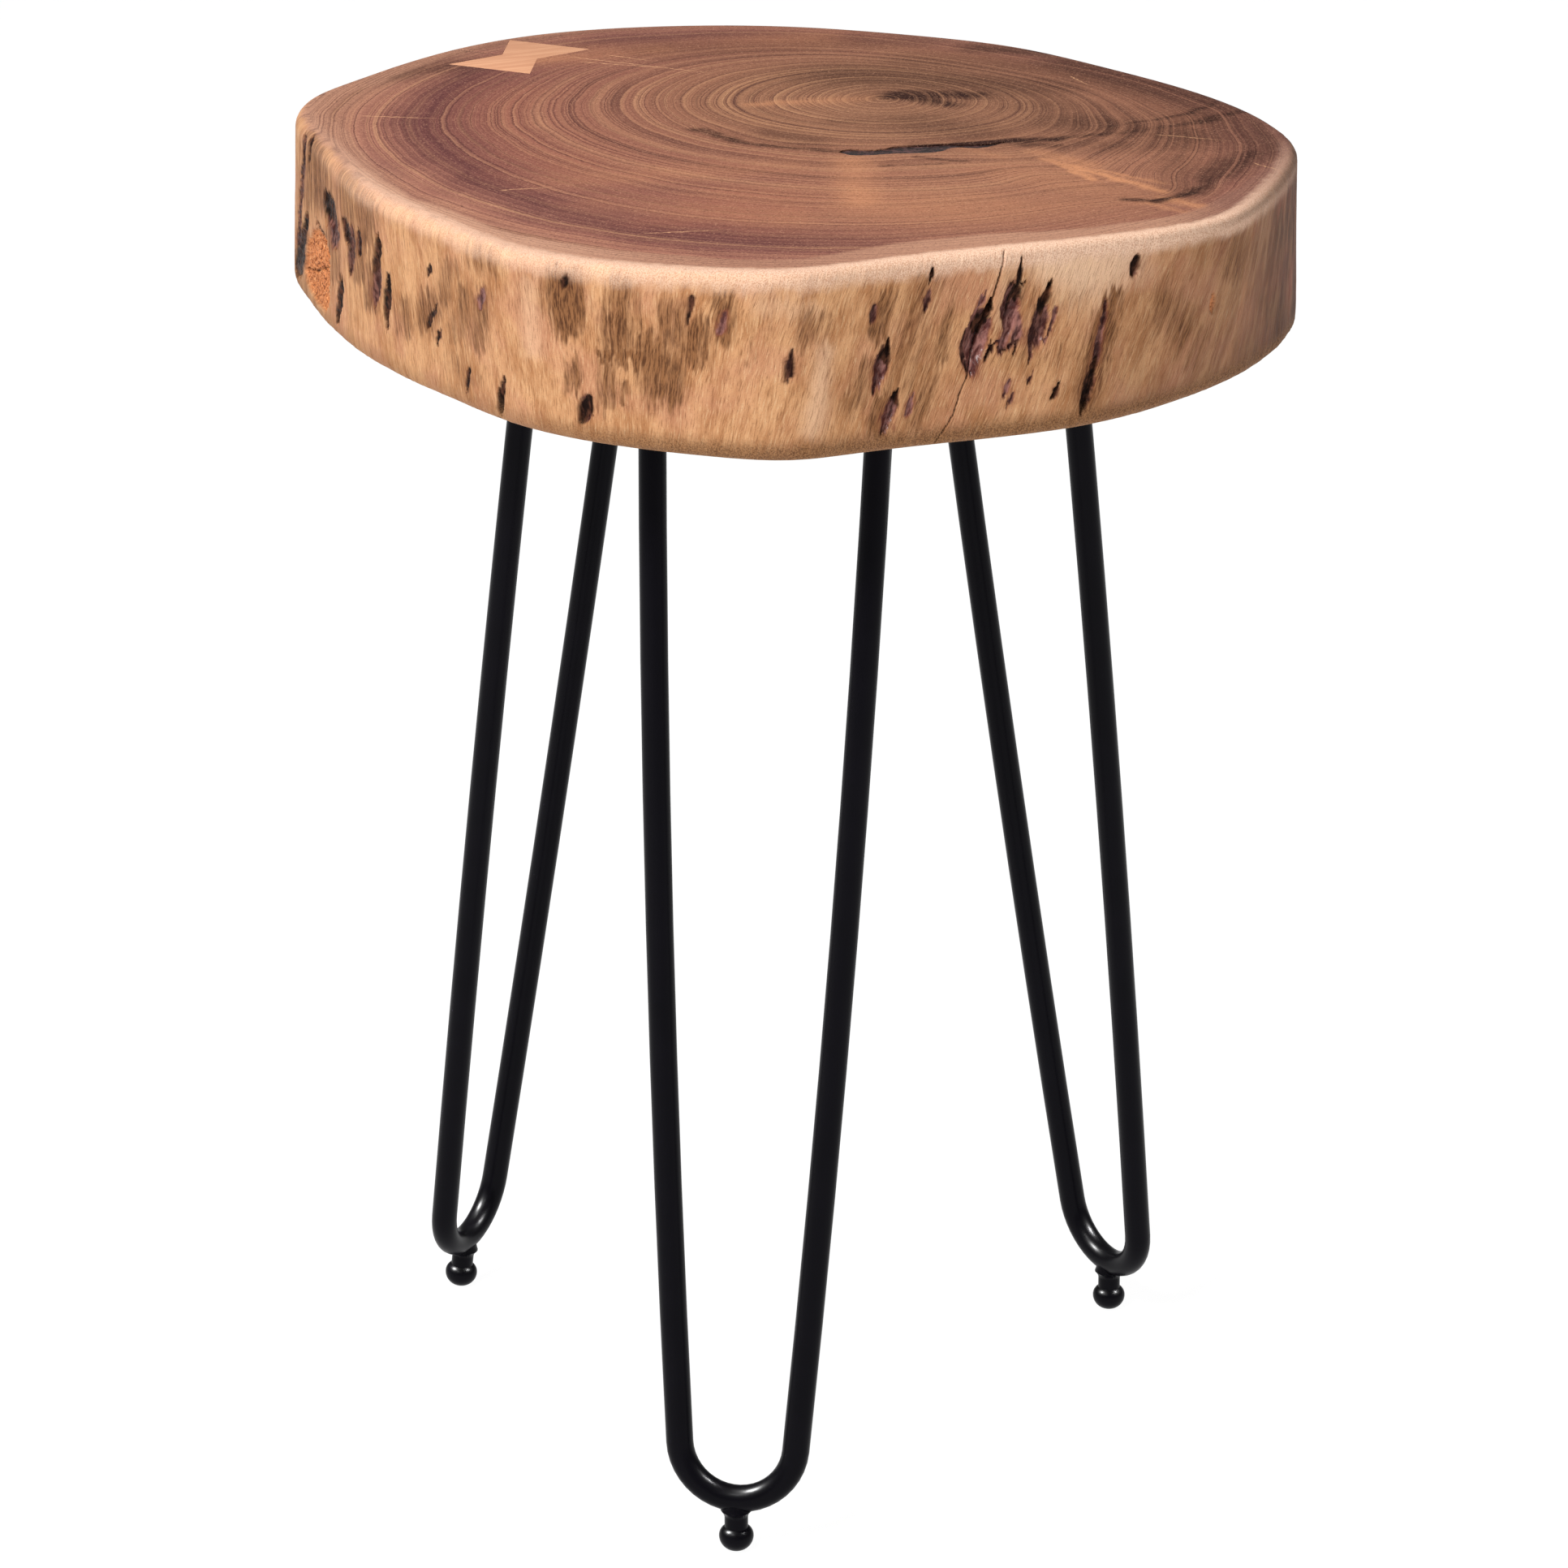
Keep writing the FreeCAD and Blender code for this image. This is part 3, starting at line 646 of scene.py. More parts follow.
twist = np.interp(np.degrees(bearing_of) % 360, grain_bearings, grain_slopes)
twist = twist * (height_of - slab_thickness / 2) / reach_of
fibre_bearing = bearing_of - twist
fibre_points = np.stack([
    trunk_reach * np.cos(fibre_bearing), trunk_reach * np.sin(fibre_bearing), height_of * fibre_draw], axis=1)
fibres = rough(fibre_points, 1.7 * mm)
waves = rough(sound_points * np.array([1, 1, 0.5]), 34 * mm, 2)
crumbs = rough(sound_points + 5.0, 1.6 * mm)
low_edge = 1 - smooth(height_of, 2 * mm, 9 * mm)

carved = wave_depth * (0.5 + 0.5 * waves) + fibre_depth * (0.6 + fibres)
carved += pit + bark * crumb_depth * (0.7 + crumbs) + torn * mm * (1.6 + 0.9 * crumbs)
carved += crack * crack_depth + low_edge * edge_depth * (0.8 + crumbs)
carved = np.clip(carved, 0, 1.6 * deepest_pit)
carved *= 1 - smooth(high_turn[row_of], math.radians(35), math.radians(85))
carved *= 1 - smooth(low_turn[row_of], math.radians(60), math.radians(88))

wall_points = np.stack([
    (reach_of - inset_of - carved) * np.cos(bearing_of),
    (reach_of - inset_of - carved) * np.sin(bearing_of),
    slab_low.z + height_of], axis=1)
rim = wall_points.reshape(columns, rows, 3)[:, -1, :2]
print("relief up to", round(carved.max() / mm, 1), "mm")

# %% [markdown]
# ## The top face
#
# The top is flat, but it has to carry the growth rings point by point, and it has two pockets: one for
# the butterfly key and one for the resin. A triangulation that respects given edges fits the rim and
# both pockets exactly. A ragged line replaces the resin's smooth CAD outline, as the bark that rotted
# out of it was ragged.

# %% Outlines on the top face
def plan_outline(node):
    """The outline of a CAD piece's top face, found as the chain of edges that only one of its facets has."""
    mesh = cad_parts[node].data
    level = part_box(node)[1].z
    ahead = {}
    for facet in mesh.polygons:
        corners = [mesh.vertices[number].co for number in facet.vertices]
        if all(abs(corner.z - level) < 1e-5 for corner in corners):
            places = [(round(corner.x, 6), round(corner.y, 6)) for corner in corners]
            for here, there in zip(places, places[1:] + places[:1]):
                if ahead.get(there) and here in ahead[there]:
                    ahead[there].remove(here)
                else:
                    ahead.setdefault(here, []).append(there)
    start = min(here for here, nexts in ahead.items() if nexts)
    chain = [start]
    while ahead[chain[-1]] and (ahead[chain[-1]][0] != start):
        chain.append(ahead[chain[-1]].pop())
    return np.array(chain)


def divided(outline, spacing):
    """The same closed outline with points no further apart than a spacing."""
    ahead = np.roll(outline, -1, axis=0)
    runs = [np.linspace(a, b, max(1, math.ceil(np.hypot(*(b - a)) / spacing)), endpoint=False)
            for a, b in zip(outline, ahead)]
    return np.concatenate(runs)


def inside(points, outline):
    """Which points of a plan are inside a closed outline."""
    found = np.zeros(len(points), bool)
    for a, b in zip(outline, np.roll(outline, -1, axis=0)):
        spans = (a[1] > points[:, 1]) != (b[1] > points[:, 1])
        rise = b[1] - a[1] if b[1] != a[1] else 1e-12
        found ^= spans & (points[:, 0] < a[0] + (b[0] - a[0]) * (points[:, 1] - a[1]) / rise)
    return found


print("outlines can be read from the CAD pieces")

# %% Outlines of the key and the resin
rag_depth = 0.6 * mm
rag_limit = 0.8 * mm
key_corners = plan_outline("butterfly_key")
fill_outline = divided(plan_outline("resin_fill"), 0.8 * mm)
fill_middle = fill_outline.mean(axis=0)
fill_run = np.roll(fill_outline, -1, axis=0) - np.roll(fill_outline, 1, axis=0)
fill_run /= np.hypot(*fill_run.T)[:, None]
fill_ragged = rough(np.column_stack([fill_outline, np.zeros(len(fill_outline))]), 4 * mm)
fill_ragged = np.clip(rag_depth * fill_ragged, -rag_limit, rag_limit)
fill_outline = fill_outline + np.column_stack([fill_run[:, 1], -fill_run[:, 0]]) * fill_ragged[:, None]
key_outline = divided(key_corners, 1.5 * mm)
print("key of", len(key_corners), "corners, resin edge of", len(fill_outline), "points")

# %% [markdown]
# ## Growth rings
#
# Rings are circles about the pith near the middle and follow the bark near the rim. So each point
# gets a ring number: its distance from the pith, drawn towards its share of the way to the rim. Waves
# that grow outward, and a few knots of pressure where bark grew in, bend the rings as in the slab.

# %% Pith, rings and sapwood
pith = np.array((43.4, 72.3)) * mm
ring_mean = 0.21

# Where the rings are pushed out: x, y, reach, push, in millimetres
ring_pushes = [(58, -40, 26, 7), (150, -100, 22, -9), (104, -62, 20, 6), (-20, 66, 30, -3), (62, 74, 15, 4)]

# Where the rings are kinked, along lines on which bark grew in: from x, y to x, y, width, push
ring_kinks = [(102, -32, 167, -97, 30, -5), (111, 2, 204, 55, 26, -4), (-39, 14, 22, -27, 9, -3)]

# The sapwood's width, by bearing
sap_bearings = (0, 60, 110, 133, 150, 165, 180, 196, 226, 244, 272, 284, 304, 328, 346, 360)
sap_widths = (4, 2, 2, 9, 14, 13, 16, 11, 12, 21, 21, 27, 22, 18, 10, 4)
print("rings about the pith at", (pith / mm).tolist(), "mm")

# %% Smoke and flame of the heartwood, with painted shade and sheen
# Dark smoke and pale flame, whose broad, weak strokes also paint shade at the back right and a
# sheen at the front: from x, y to x, y, width, strength, in millimetres
smoke_and_shade_strokes = [
    (48, 78, 66, 76, 14, 0.9), (58, 74, 72, 62, 12, 0.8), (-39, 14, -18, -13, 6, 0.7),
    (-18, -13, 22, -27, 4, 0.7), (-8, 6, 8, -8, 18, 0.35), (57, -17, 103, -7, 8, 1.0),
    (98, -6, 118, -4, 8, 0.9), (110, -5, 150, 10, 7, 0.7), (150, 10, 182, 28, 9, 0.65),
    (182, 28, 203, 52, 12, 0.75), (138, 18, 176, 42, 5, 0.7), (176, 42, 196, 72, 6, 0.8),
    (145, 14, 200, 48, 22, 0.4), (104, -14, 116, -16, 9, 0.6), (140, -110, 152, -114, 4, 0.8),
    (152, -114, 170, -100, 5, 0.9), (170, -100, 184, -66, 10, 0.7), (180, -72, 200, -30, 18, 0.65),
    (200, -20, 210, 30, 16, 0.5), (88, 175, 130, 164, 20, 0.6), (-186, 116, -150, 142, 24, 0.5),
    (20, 30, 70, 26, 9, 0.3), (130, 140, 195, 60, 44, 0.6), (60, 150, 150, 120, 40, 0.4),
    (-60, 170, 60, 190, 34, 0.3), (185, 60, 208, -20, 40, 0.5), (120, 60, 170, 40, 40, 0.3),
    (55, -36, 75, -44, 3, 0.6), (40, -52, 66, -50, 2, 0.7), (26, 118, 118, 98, 46, 0.5),
    (57, 28, 81, 6, 34, 0.36), (132, 28, 173, 2, 42, 0.55), (132, -14, 172, -14, 26, 0.42),
    (168, -38, 165, -105, 16, 0.3), (52, 85, 84, 80, 16, 0.8),
]
flame_and_sheen_strokes = [
    (-16, 62, 10, 67, 7, 0.6), (10, 67, 36, 74, 12, 0.45), (110, -40, 158, -98, 5, 1.5),
    (90, -34, 130, -80, 24, 0.2), (76, -20, 92, -36, 8, 0.5), (40, -120, 120, -130, 44, 0.45),
    (-20, -110, 40, -90, 40, 0.2), (146, -118, 168, -112, 7, 0.7), (-93, -78, -4, -53, 30, 0.3),
    (-71, -124, -4, -141, 34, 0.4), (28, -46, 31, -117, 18, 0.75), (100, -62, 145, -117, 34, 0.3),
    (94, -128, 143, -141, 30, 0.4), (114, -46, 130, -78, 4, 1.3), (122, -50, 160, -84, 3, 1.1),
    (158, -108, 176, -130, 7, 1.4), (150, -118, 168, -136, 5, 1.1), (-120, 150, -60, 172, 24, 0.8),
    (-90, 168, 10, 196, 30, 0.5), (108, -28, 128, -50, 11, 0.9),
]
print(len(smoke_and_shade_strokes), "strokes of smoke,", len(flame_and_sheen_strokes), "of flame")

# %% Strokes and the way to the rim
rim_bearings = 360
kept_waves = 4


def stroke_field(points, start_x, start_y, end_x, end_y, width):
    """1 along a soft brush stroke, fading to 0 at its width."""
    start = np.array((start_x, start_y)) * mm
    run = np.array((end_x, end_y)) * mm - start
    share = np.clip((points - start) @ run / (run @ run), 0, 1)
    off = np.hypot(*(points - start - share[:, None] * run).T)
    return np.exp(-(off / (0.6 * width * mm)) ** 2)


def rim_distance(points, loop, middle):
    """From a middle: how far each point is, and how far the loop is on the same bearing."""
    away = points - middle
    loop_away = loop - middle
    turns = np.arctan2(loop_away[:, 1], loop_away[:, 0])
    order = np.argsort(turns)
    reach = np.interp(np.arctan2(away[:, 1], away[:, 0]), turns[order], np.hypot(*loop_away.T)[order],
                      period=2 * math.pi)
    return np.hypot(*away.T), reach


turns = np.linspace(0, 2 * math.pi, rim_bearings, endpoint=False)
headings = np.column_stack([np.cos(turns), np.sin(turns)])
rim_waves = np.fft.rfft(rim_distance(pith + headings, rim, pith)[1])
rim_waves[kept_waves:] = 0
even_rim = pith + np.fft.irfft(rim_waves, len(turns))[:, None] * headings
print("rim", round(np.hypot(*(even_rim - pith).T).max() / mm), "mm from the pith at most")

# %% What the top's points carry
def top_layers(points):
    """The top face's painted layers: ring number, sapwood, smoke and painted shade, flame and painted sheen.
    """
    from_pith, pith_reach = rim_distance(points, even_rim, pith)
    share = np.clip(from_pith / pith_reach, 0, 1.15)
    follow = smooth(share, 0.15, 0.9)
    ring = (1 - follow) * from_pith + follow * share * ring_mean
    direction = (points - pith) / np.maximum(from_pith, 1e-6)[:, None]
    flat = np.column_stack([points, np.zeros(len(points))])
    ring += 3.0 * mm * share * rough(np.column_stack([direction * 1.2, share * 0.7]), 1.0, 2)
    ring += 0.6 * mm * rough(flat, 34 * mm, 2)
    for x, y, reach, push in ring_pushes:
        off = np.hypot(*(points - np.array((x, y)) * mm).T) / (reach * mm)
        ring += push * mm * np.exp(-off * off)
    for *line, push in ring_kinks:
        ring += push * mm * stroke_field(points, *line)
    from_middle, rim_reach = rim_distance(points, rim, np.zeros(2))
    width = np.interp(np.degrees(np.arctan2(points[:, 1], points[:, 0])) % 360, sap_bearings, sap_widths) * mm
    width += 2.5 * mm * rough(flat, 30 * mm, 3)
    sap = 1 - smooth(rim_reach + top_round - from_middle, width, width + 4 * mm)
    warped = points + 2.5 * mm * np.column_stack([rough(flat, 9 * mm), rough(flat + 1.0, 9 * mm)])
    smoke = np.zeros(len(points))
    for *line, strength in smoke_and_shade_strokes:
        smoke = np.maximum(smoke, strength * stroke_field(warped, *line))
    flame_and_sheen = np.zeros(len(points))
    for *line, strength in flame_and_sheen_strokes:
        flame_and_sheen = np.maximum(flame_and_sheen, strength * stroke_field(warped, *line))
    return ring, sap, smoke, flame_and_sheen


print("top_layers:", top_layers.__doc__)

# %% [markdown]
# ## The drying check
#
# A slab that dries too fast splits from the rim towards the pith. Here the split is a thin groove
# between the rim and the key. Two lines of points along its lips and one along its floor are added to
# the triangulation, and the floor is set lower.

# %% Line of the check
check_width = 1.2 * mm
check_depth = 3.0 * mm
check_run = 80 * mm
check_points = 54
key_middle = key_corners.mean(axis=0)
key_lengths = np.hypot(*(np.roll(key_corners, -1, axis=0) - key_corners).T)
end_edge = int(np.argmax(key_lengths))
end_run = np.roll(key_corners, -1, axis=0)[end_edge] - key_corners[end_edge]
check_heading = end_run / np.hypot(*end_run)
check_heading = check_heading * np.sign(check_heading @ key_middle)
check_side = np.array((-check_heading[1], check_heading[0]))
check_line = key_middle + np.linspace(0, check_run, check_points)[:, None] * check_heading
check_wander = rough(np.column_stack([check_line, np.zeros(check_points)]), 9 * mm)
check_line = check_line + 0.5 * mm * check_side * check_wander[:, None]
check_reach, check_rim = rim_distance(check_line, rim, np.zeros(2))
check_line = check_line[(check_reach < check_rim - mm) & ~inside(check_line, key_outline)]
check_lips = np.concatenate([check_line + side * 0.5 * check_width * check_side for side in (-1, 1)])
print(len(check_line), "points along the check")

# %% Triangulate the top
top_spacing = 2.2 * mm
same_point = 1e-7


def grid_in(loop, spacing):
    """A triangular grid of points inside a loop about the middle, clear of the loop itself."""
    reach = np.abs(loop).max() + spacing
    ys = np.arange(-reach, reach, spacing * math.sqrt(0.75))
    xs = np.arange(-reach, reach, spacing)
    points = np.array([(x + spacing / 2 * (row % 2), y) for row, y in enumerate(ys) for x in xs])
    from_middle, loop_reach = rim_distance(points, loop, np.zeros(2))
    return points[from_middle < loop_reach - 0.7 * spacing]


def triangulated(loops, loose, keep):
    """Triangles over loops of fixed edges and loose points, and which given point each corner is."""
    points = np.concatenate(loops + [loose])
    edges = []
    start = 0
    for loop in loops:
        ring = np.arange(start, start + len(loop))
        edges += np.column_stack([ring, np.roll(ring, -1)]).tolist()
        start += len(loop)
    flat = [Vector(point) for point in points.tolist()]
    places, _, faces, given, _, _ = delaunay_2d_cdt(flat, edges, [], 0, same_point)
    places = np.array(places)
    faces = np.array(faces)
    faces = faces[keep(places[faces].mean(axis=1))]
    return places, faces, [origin[0] if origin else -1 for origin in given]


def on_top(points):
    from_middle, rim_reach = rim_distance(points, rim, np.zeros(2))
    return (from_middle < rim_reach) & ~inside(points, key_outline) & ~inside(points, fill_outline)


grid = grid_in(rim, top_spacing)
grid = grid[on_top(grid)]
near_check = np.array([np.hypot(*(check_line - point).T).min() < 1.1 * check_width for point in grid])
loose = np.concatenate([grid[~near_check], check_lips, check_line])
top_places, top_faces, top_given = triangulated([rim, key_outline, fill_outline], loose, on_top)
print(len(top_places), "points on the top,", len(top_faces), "triangles")

# %% [markdown]
# ## Sewing the slab together
#
# The wall's grid, the top, the underside and the two pockets share their border points, so the slab is
# one closed skin. The painted layers ride on the mesh as attributes, which the finish reads. The
# pockets' lips are marked sharp, and everything else is shaded smooth.

# %% Sew the top to the wall
wall_index = np.arange(columns * rows).reshape(columns, rows)
beside = np.roll(wall_index, -1, axis=0)
wall_faces = np.stack([wall_index[:, :-1], beside[:, :-1], beside[:, 1:], wall_index[:, 1:]], axis=-1)
slab_points = [wall_points]
slab_faces = wall_faces.reshape(-1, 4).tolist()
point_count = len(wall_points)


def counter_clockwise(places, faces):
    """The same triangles, all wound the same way round seen from above."""
    a, b, c = (places[faces[:, corner]] for corner in range(3))
    area = (b[:, 0] - a[:, 0]) * (c[:, 1] - a[:, 1]) - (b[:, 1] - a[:, 1]) * (c[:, 0] - a[:, 0])
    return np.where((area > 0)[:, None], faces, faces[:, ::-1])


def sewn(given, seam):
    """Numbers for a cap's points in the slab: those on the seam keep theirs, the others are new."""
    numbers = []
    fresh = point_count
    for origin in given:
        if 0 <= origin < len(seam):
            numbers.append(seam[origin])
        else:
            numbers.append(fresh)
            fresh += 1
    return np.array(numbers), fresh


top_numbers, top_end = sewn(top_given, wall_index[:, -1])
top_new = top_numbers >= point_count
top_plan = top_places[top_new]
groove_floor = columns + len(key_outline) + len(fill_outline) + len(loose) - len(check_line)
top_levels = np.where(np.array(top_given)[top_new] >= groove_floor, slab_high.z - check_depth, slab_high.z)
slab_points.append(np.column_stack([top_plan, top_levels]))
slab_faces += top_numbers[counter_clockwise(top_places, top_faces)].tolist()
point_count = top_end
print(point_count, "points on the wall and the top")

# %% Close the underside
underside_spacing = 9 * mm
under_rim = wall_points.reshape(columns, rows, 3)[:, 0, :2]
under_grid = grid_in(under_rim, underside_spacing)
under_places, under_faces, under_given = triangulated(
    [under_rim], under_grid, lambda points: np.subtract(*rim_distance(points, under_rim, np.zeros(2))) < 0)
under_numbers, under_end = sewn(under_given, wall_index[:, 0])
under_plan = under_places[under_numbers >= point_count]
slab_points.append(np.column_stack([under_plan, np.full(len(under_plan), slab_low.z)]))
slab_faces += under_numbers[counter_clockwise(under_places, under_faces)][:, ::-1].tolist()
point_count = under_end
print(point_count, "points before the pockets")

# %% Sink the pockets
def pocket(first, length, floor_level):
    """Walls and floor under a loop of the top face. Returns the loop's numbers."""
    global point_count
    order = {origin: number for origin, number in zip(top_given, top_numbers)}
    lip = [order[first + step] for step in range(length)]
    floor_points = np.array([top_places[top_given.index(first + step)] for step in range(length)])
    base = list(range(point_count, point_count + length))
    slab_points.append(np.column_stack([floor_points, np.full(length, floor_level)]))
    for here in range(length):
        there = (here + 1) % length
        slab_faces.append([lip[here], lip[there], base[there], base[here]])
    slab_faces.append(base)
    point_count += length
    return lip


lips = pocket(columns, len(key_outline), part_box("butterfly_key")[0].z)
lips += pocket(columns + len(key_outline), len(fill_outline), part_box("resin_fill")[0].z)
slab_points = np.concatenate(slab_points)
print(len(lips), "points on the lips of the pockets")

# %% Make the slab's mesh
slab_mesh = bpy.data.meshes.new("slab")
slab_mesh.from_pydata(slab_points.tolist(), [], slab_faces)
slab_mesh.shade_smooth()
lip_set = set(lips)
for edge in slab_mesh.edges:
    if edge.vertices[0] in lip_set and edge.vertices[1] in lip_set:
        edge.use_edge_sharp = True
print(len(slab_points), "points,", len(slab_faces), "faces in the slab")

# %% [markdown]
# ## Painting the layers
#
# The finish has to know where bark, stains, sapwood and rings are. A picture wrapped round the slab could
# say so, but numbers on the mesh's own points need no unwrapping and stay as sharp as the mesh. Each layer
# is one number for each point, and rides on the mesh as an attribute. The pale strokes of the heartwood,
# partly a painted sheen, are not called flame, because Cycles keeps that name for fire.

# %% Layers of the top
cap_plan = slab_points[columns * rows:, :2]
rim_layers = top_layers(rim)
cap_layers = top_layers(cap_plan)
layers = {name: np.concatenate([np.repeat(at_rim, rows), on_cap])
          for name, at_rim, on_cap in zip(("ring", "sap", "smoke", "blaze"), rim_layers, cap_layers)}
print(len(layers), "layers of the top")

# %% Layers of the wall
# How weathered the wall is, partly painted shade away from the lamps, and how pale its upper
# edge is, partly sanded and partly a painted highlight, by bearing
weather_and_shade_bearings = (0, 60, 150, 200, 300, 325, 342, 360)
weather_and_shade_shares = (1.0, 0.7, 0.4, 0.0, 0.08, 0.5, 1.0, 1.0)
pale_highlight_bearings = (0, 60, 150, 175, 195, 207, 240, 290, 322, 338, 350, 360)
pale_highlight_shares = (0.0, 0.0, 0.0, 0.1, 0.2, 0.38, 0.55, 1.0, 1.0, 0.5, 0.3, 0.0)
# The wall's upper edge is painted pale: sanded wood, and a painted highlight on the rounded edge.
arris = 1 - smooth(slab_thickness - height_of + (1.5 * wander + 0.8 * ragged) * mm, 4 * mm, 10.5 * mm)
arris = arris * np.interp(np.degrees(bearing_of) % 360, pale_highlight_bearings, pale_highlight_shares) * (1 - bark)
weather = np.interp(np.degrees(bearing_of) % 360, weather_and_shade_bearings, weather_and_shade_shares)
wall_layers = {
    "top": smooth(high_turn[row_of] + 0.25 * wander, math.radians(40), math.radians(80)),
    "arris": arris,
    "sanded": sanded * (1 - bark) * (1 - crack),
    "bark": bark, "rosy": rosy, "stain": stain, "torn": torn, "crack": crack,
    "twist": -twist, "weather": weather,
}
print(len(wall_layers), "layers of the wall")

# %% Put the layers on the mesh
spare = len(cap_plan)
cap_middle, cap_reach = rim_distance(cap_plan, rim, np.zeros(2))
cap_bearing = np.degrees(np.arctan2(cap_plan[:, 1], cap_plan[:, 0])) % 360
on_caps = {"top": np.ones(spare)}
cap_ragged = mm * rough(np.column_stack([cap_plan, np.zeros(spare)]), 6 * mm)
# The top's side of the rounded edge gets the same pale band and painted highlight.
on_caps["arris"] = 1 - smooth(cap_reach - cap_middle + cap_ragged, 1.5 * mm, 4.5 * mm)
on_caps["arris"] *= np.interp(cap_bearing, pale_highlight_bearings, pale_highlight_shares)
for name, values in wall_layers.items():
    layers[name] = np.concatenate([values, on_caps.get(name, np.zeros(spare))])
for name, values in layers.items():
    slab_mesh.attributes.new(name, "FLOAT", "POINT").data.foreach_set("value", values.astype(np.float32))
print(len(layers), "layers ride on the slab")

# %% [markdown]
# ## The slab's finish
#
# One finish covers the slab. Two would leave a hard line between the top and the wall, but one can blend
# them on the rounded edge, by the painted layer called top. First comes the top's end grain. Its heart
# changes colour from the pith outward, and on the left it is redder, with a purple band near the sapwood.

# %% Heartwood
def heartwood(wood, place, share, drift, across):
    """Colour of the heart, by its share of the way from the pith to the bark."""
    age = share + (drift - 0.5) * 0.12 + 0.03 - 0.06 * wood.step(across, -0.17, -0.06)
    right_heart = wood.shades(age, [
        (0.00, tint(150, 104, 79)), (0.30, tint(148, 102, 78)), (0.55, tint(162, 110, 86)),
        (0.75, tint(160, 107, 84)), (0.90, tint(146, 95, 80)), (1.0, tint(156, 108, 92))])
    left_heart = wood.shades(age, [
        (0.00, tint(150, 104, 79)), (0.30, tint(150, 103, 78)), (0.52, tint(149, 97, 78)),
        (0.70, tint(150, 94, 77)), (0.78, tint(132, 80, 70)), (0.85, tint(102, 58, 57)),
        (0.90, tint(136, 86, 75)), (0.94, tint(162, 108, 90)), (1.0, tint(166, 118, 96))])
    left = 1.0 - wood.step(across + (drift - 0.5) * 0.1, -0.02, 0.07)
    heart = wood.blend(right_heart, left_heart, left)
    purple = wood.step(wood.cloud(place, 9.0, 2.0), 0.42, 0.62)
    return wood.blend(heart, tint(112, 68, 67), purple * left * wood.step(share, 0.45, 0.75) * 0.38)


print("the heart's colours run over", round(ring_mean / mm), "mm")

# %% Growth rings
ring_pitch = 4.6 * mm


def ringed(wood, colour, line, contrast, clear, hair):
    """The colour with broad rings, years and hair lines, and the broad rings and pale years themselves."""
    broad = wood.bands(line, 120.0, 5.0, 0.72)
    faint = (1.0 - wood.step(broad, 0.26, 0.47)) * contrast * clear
    colour = wood.blend(colour, tint(70, 40, 37), wood.step(broad, 0.50, 0.74) * contrast * 0.85)
    colour = wood.blend(colour, tint(214, 162, 120), faint * 0.65)

    count = line / ring_pitch + wood.bands(line, 40.0, 2.0) * 3.0
    year = wood.node("Math", {"operation": "FLOOR"}, {0: count})
    season = count - year
    luck = wood.node("TexWhiteNoise", {"noise_dimensions": "1D"}, {"W": year})
    pale = wood.step(season, 0.55, 0.86) * (1.0 - wood.step(season, 0.90, 1.0)) * (0.15 + 0.85 * luck)
    dark = (1.0 - wood.step(season, 0.06, 0.34)) * wood.step(season, 0.0, 0.06)
    colour = wood.blend(colour, tint(80, 47, 42), dark * contrast * (1.0 - luck) * 0.7)
    colour = wood.blend(colour, tint(208, 156, 116), pale * (0.15 + 0.70 * contrast) * clear * 0.46)
    colour = wood.blend(colour, tint(88, 52, 46), wood.step(hair, 0.50, 0.72) * 0.82)
    colour = wood.blend(colour, tint(190, 138, 106), (1.0 - wood.step(hair, 0.26, 0.46)) * 0.45)
    return colour, broad, pale


print("about", round(ring_mean / ring_pitch), "years from the pith to the bark")

# %% Sapwood
def sapwood(wood, place, across, hair):
    """Colour of the sapwood: pale along the front, browner towards the right."""
    behind = wood.step(wood.node("SeparateXYZ", {}, {0: place}, "Y"), -0.10, -0.02)
    front_right = (1.0 - behind) * wood.step(across, -0.02, 0.08) * (1.0 - wood.step(across, 0.15, 0.185))
    front_left = (1.0 - behind) * (1.0 - wood.step(across, -0.12, -0.02))
    sap = wood.blend(tint(178, 130, 106), tint(136, 95, 79), wood.step(hair, 0.40, 0.66))
    sap = wood.blend(sap, tint(112, 72, 66), wood.step(across, 0.07, 0.19) * behind * 0.55)
    sap = wood.blend(sap, tint(214, 164, 134), front_right * (0.7 - hair * 0.6))
    sap = wood.blend(sap, tint(124, 82, 74), wood.step(across, 0.155, 0.19) * 0.6)
    return wood.blend(sap, tint(212, 166, 138), front_left * (0.75 - hair * 0.6))


print("sapwood is", min(sap_widths), "to", max(sap_widths), "mm wide")

# %% Scratches
# Pale hairline cracks and scratches on the top: from x, y to x, y, in millimetres
scratches = [
    (-102, 158, -31, 122), (-96, 147, -50, 133), (-84, 162, -58, 146), (198, -46, 214, -66),
    (160, 5, 194, -8), (128, 119, 138, 95), (-190, 40, -150, 34), (-122, -96, -92, -88),
    (-60, -168, -20, -160),
]


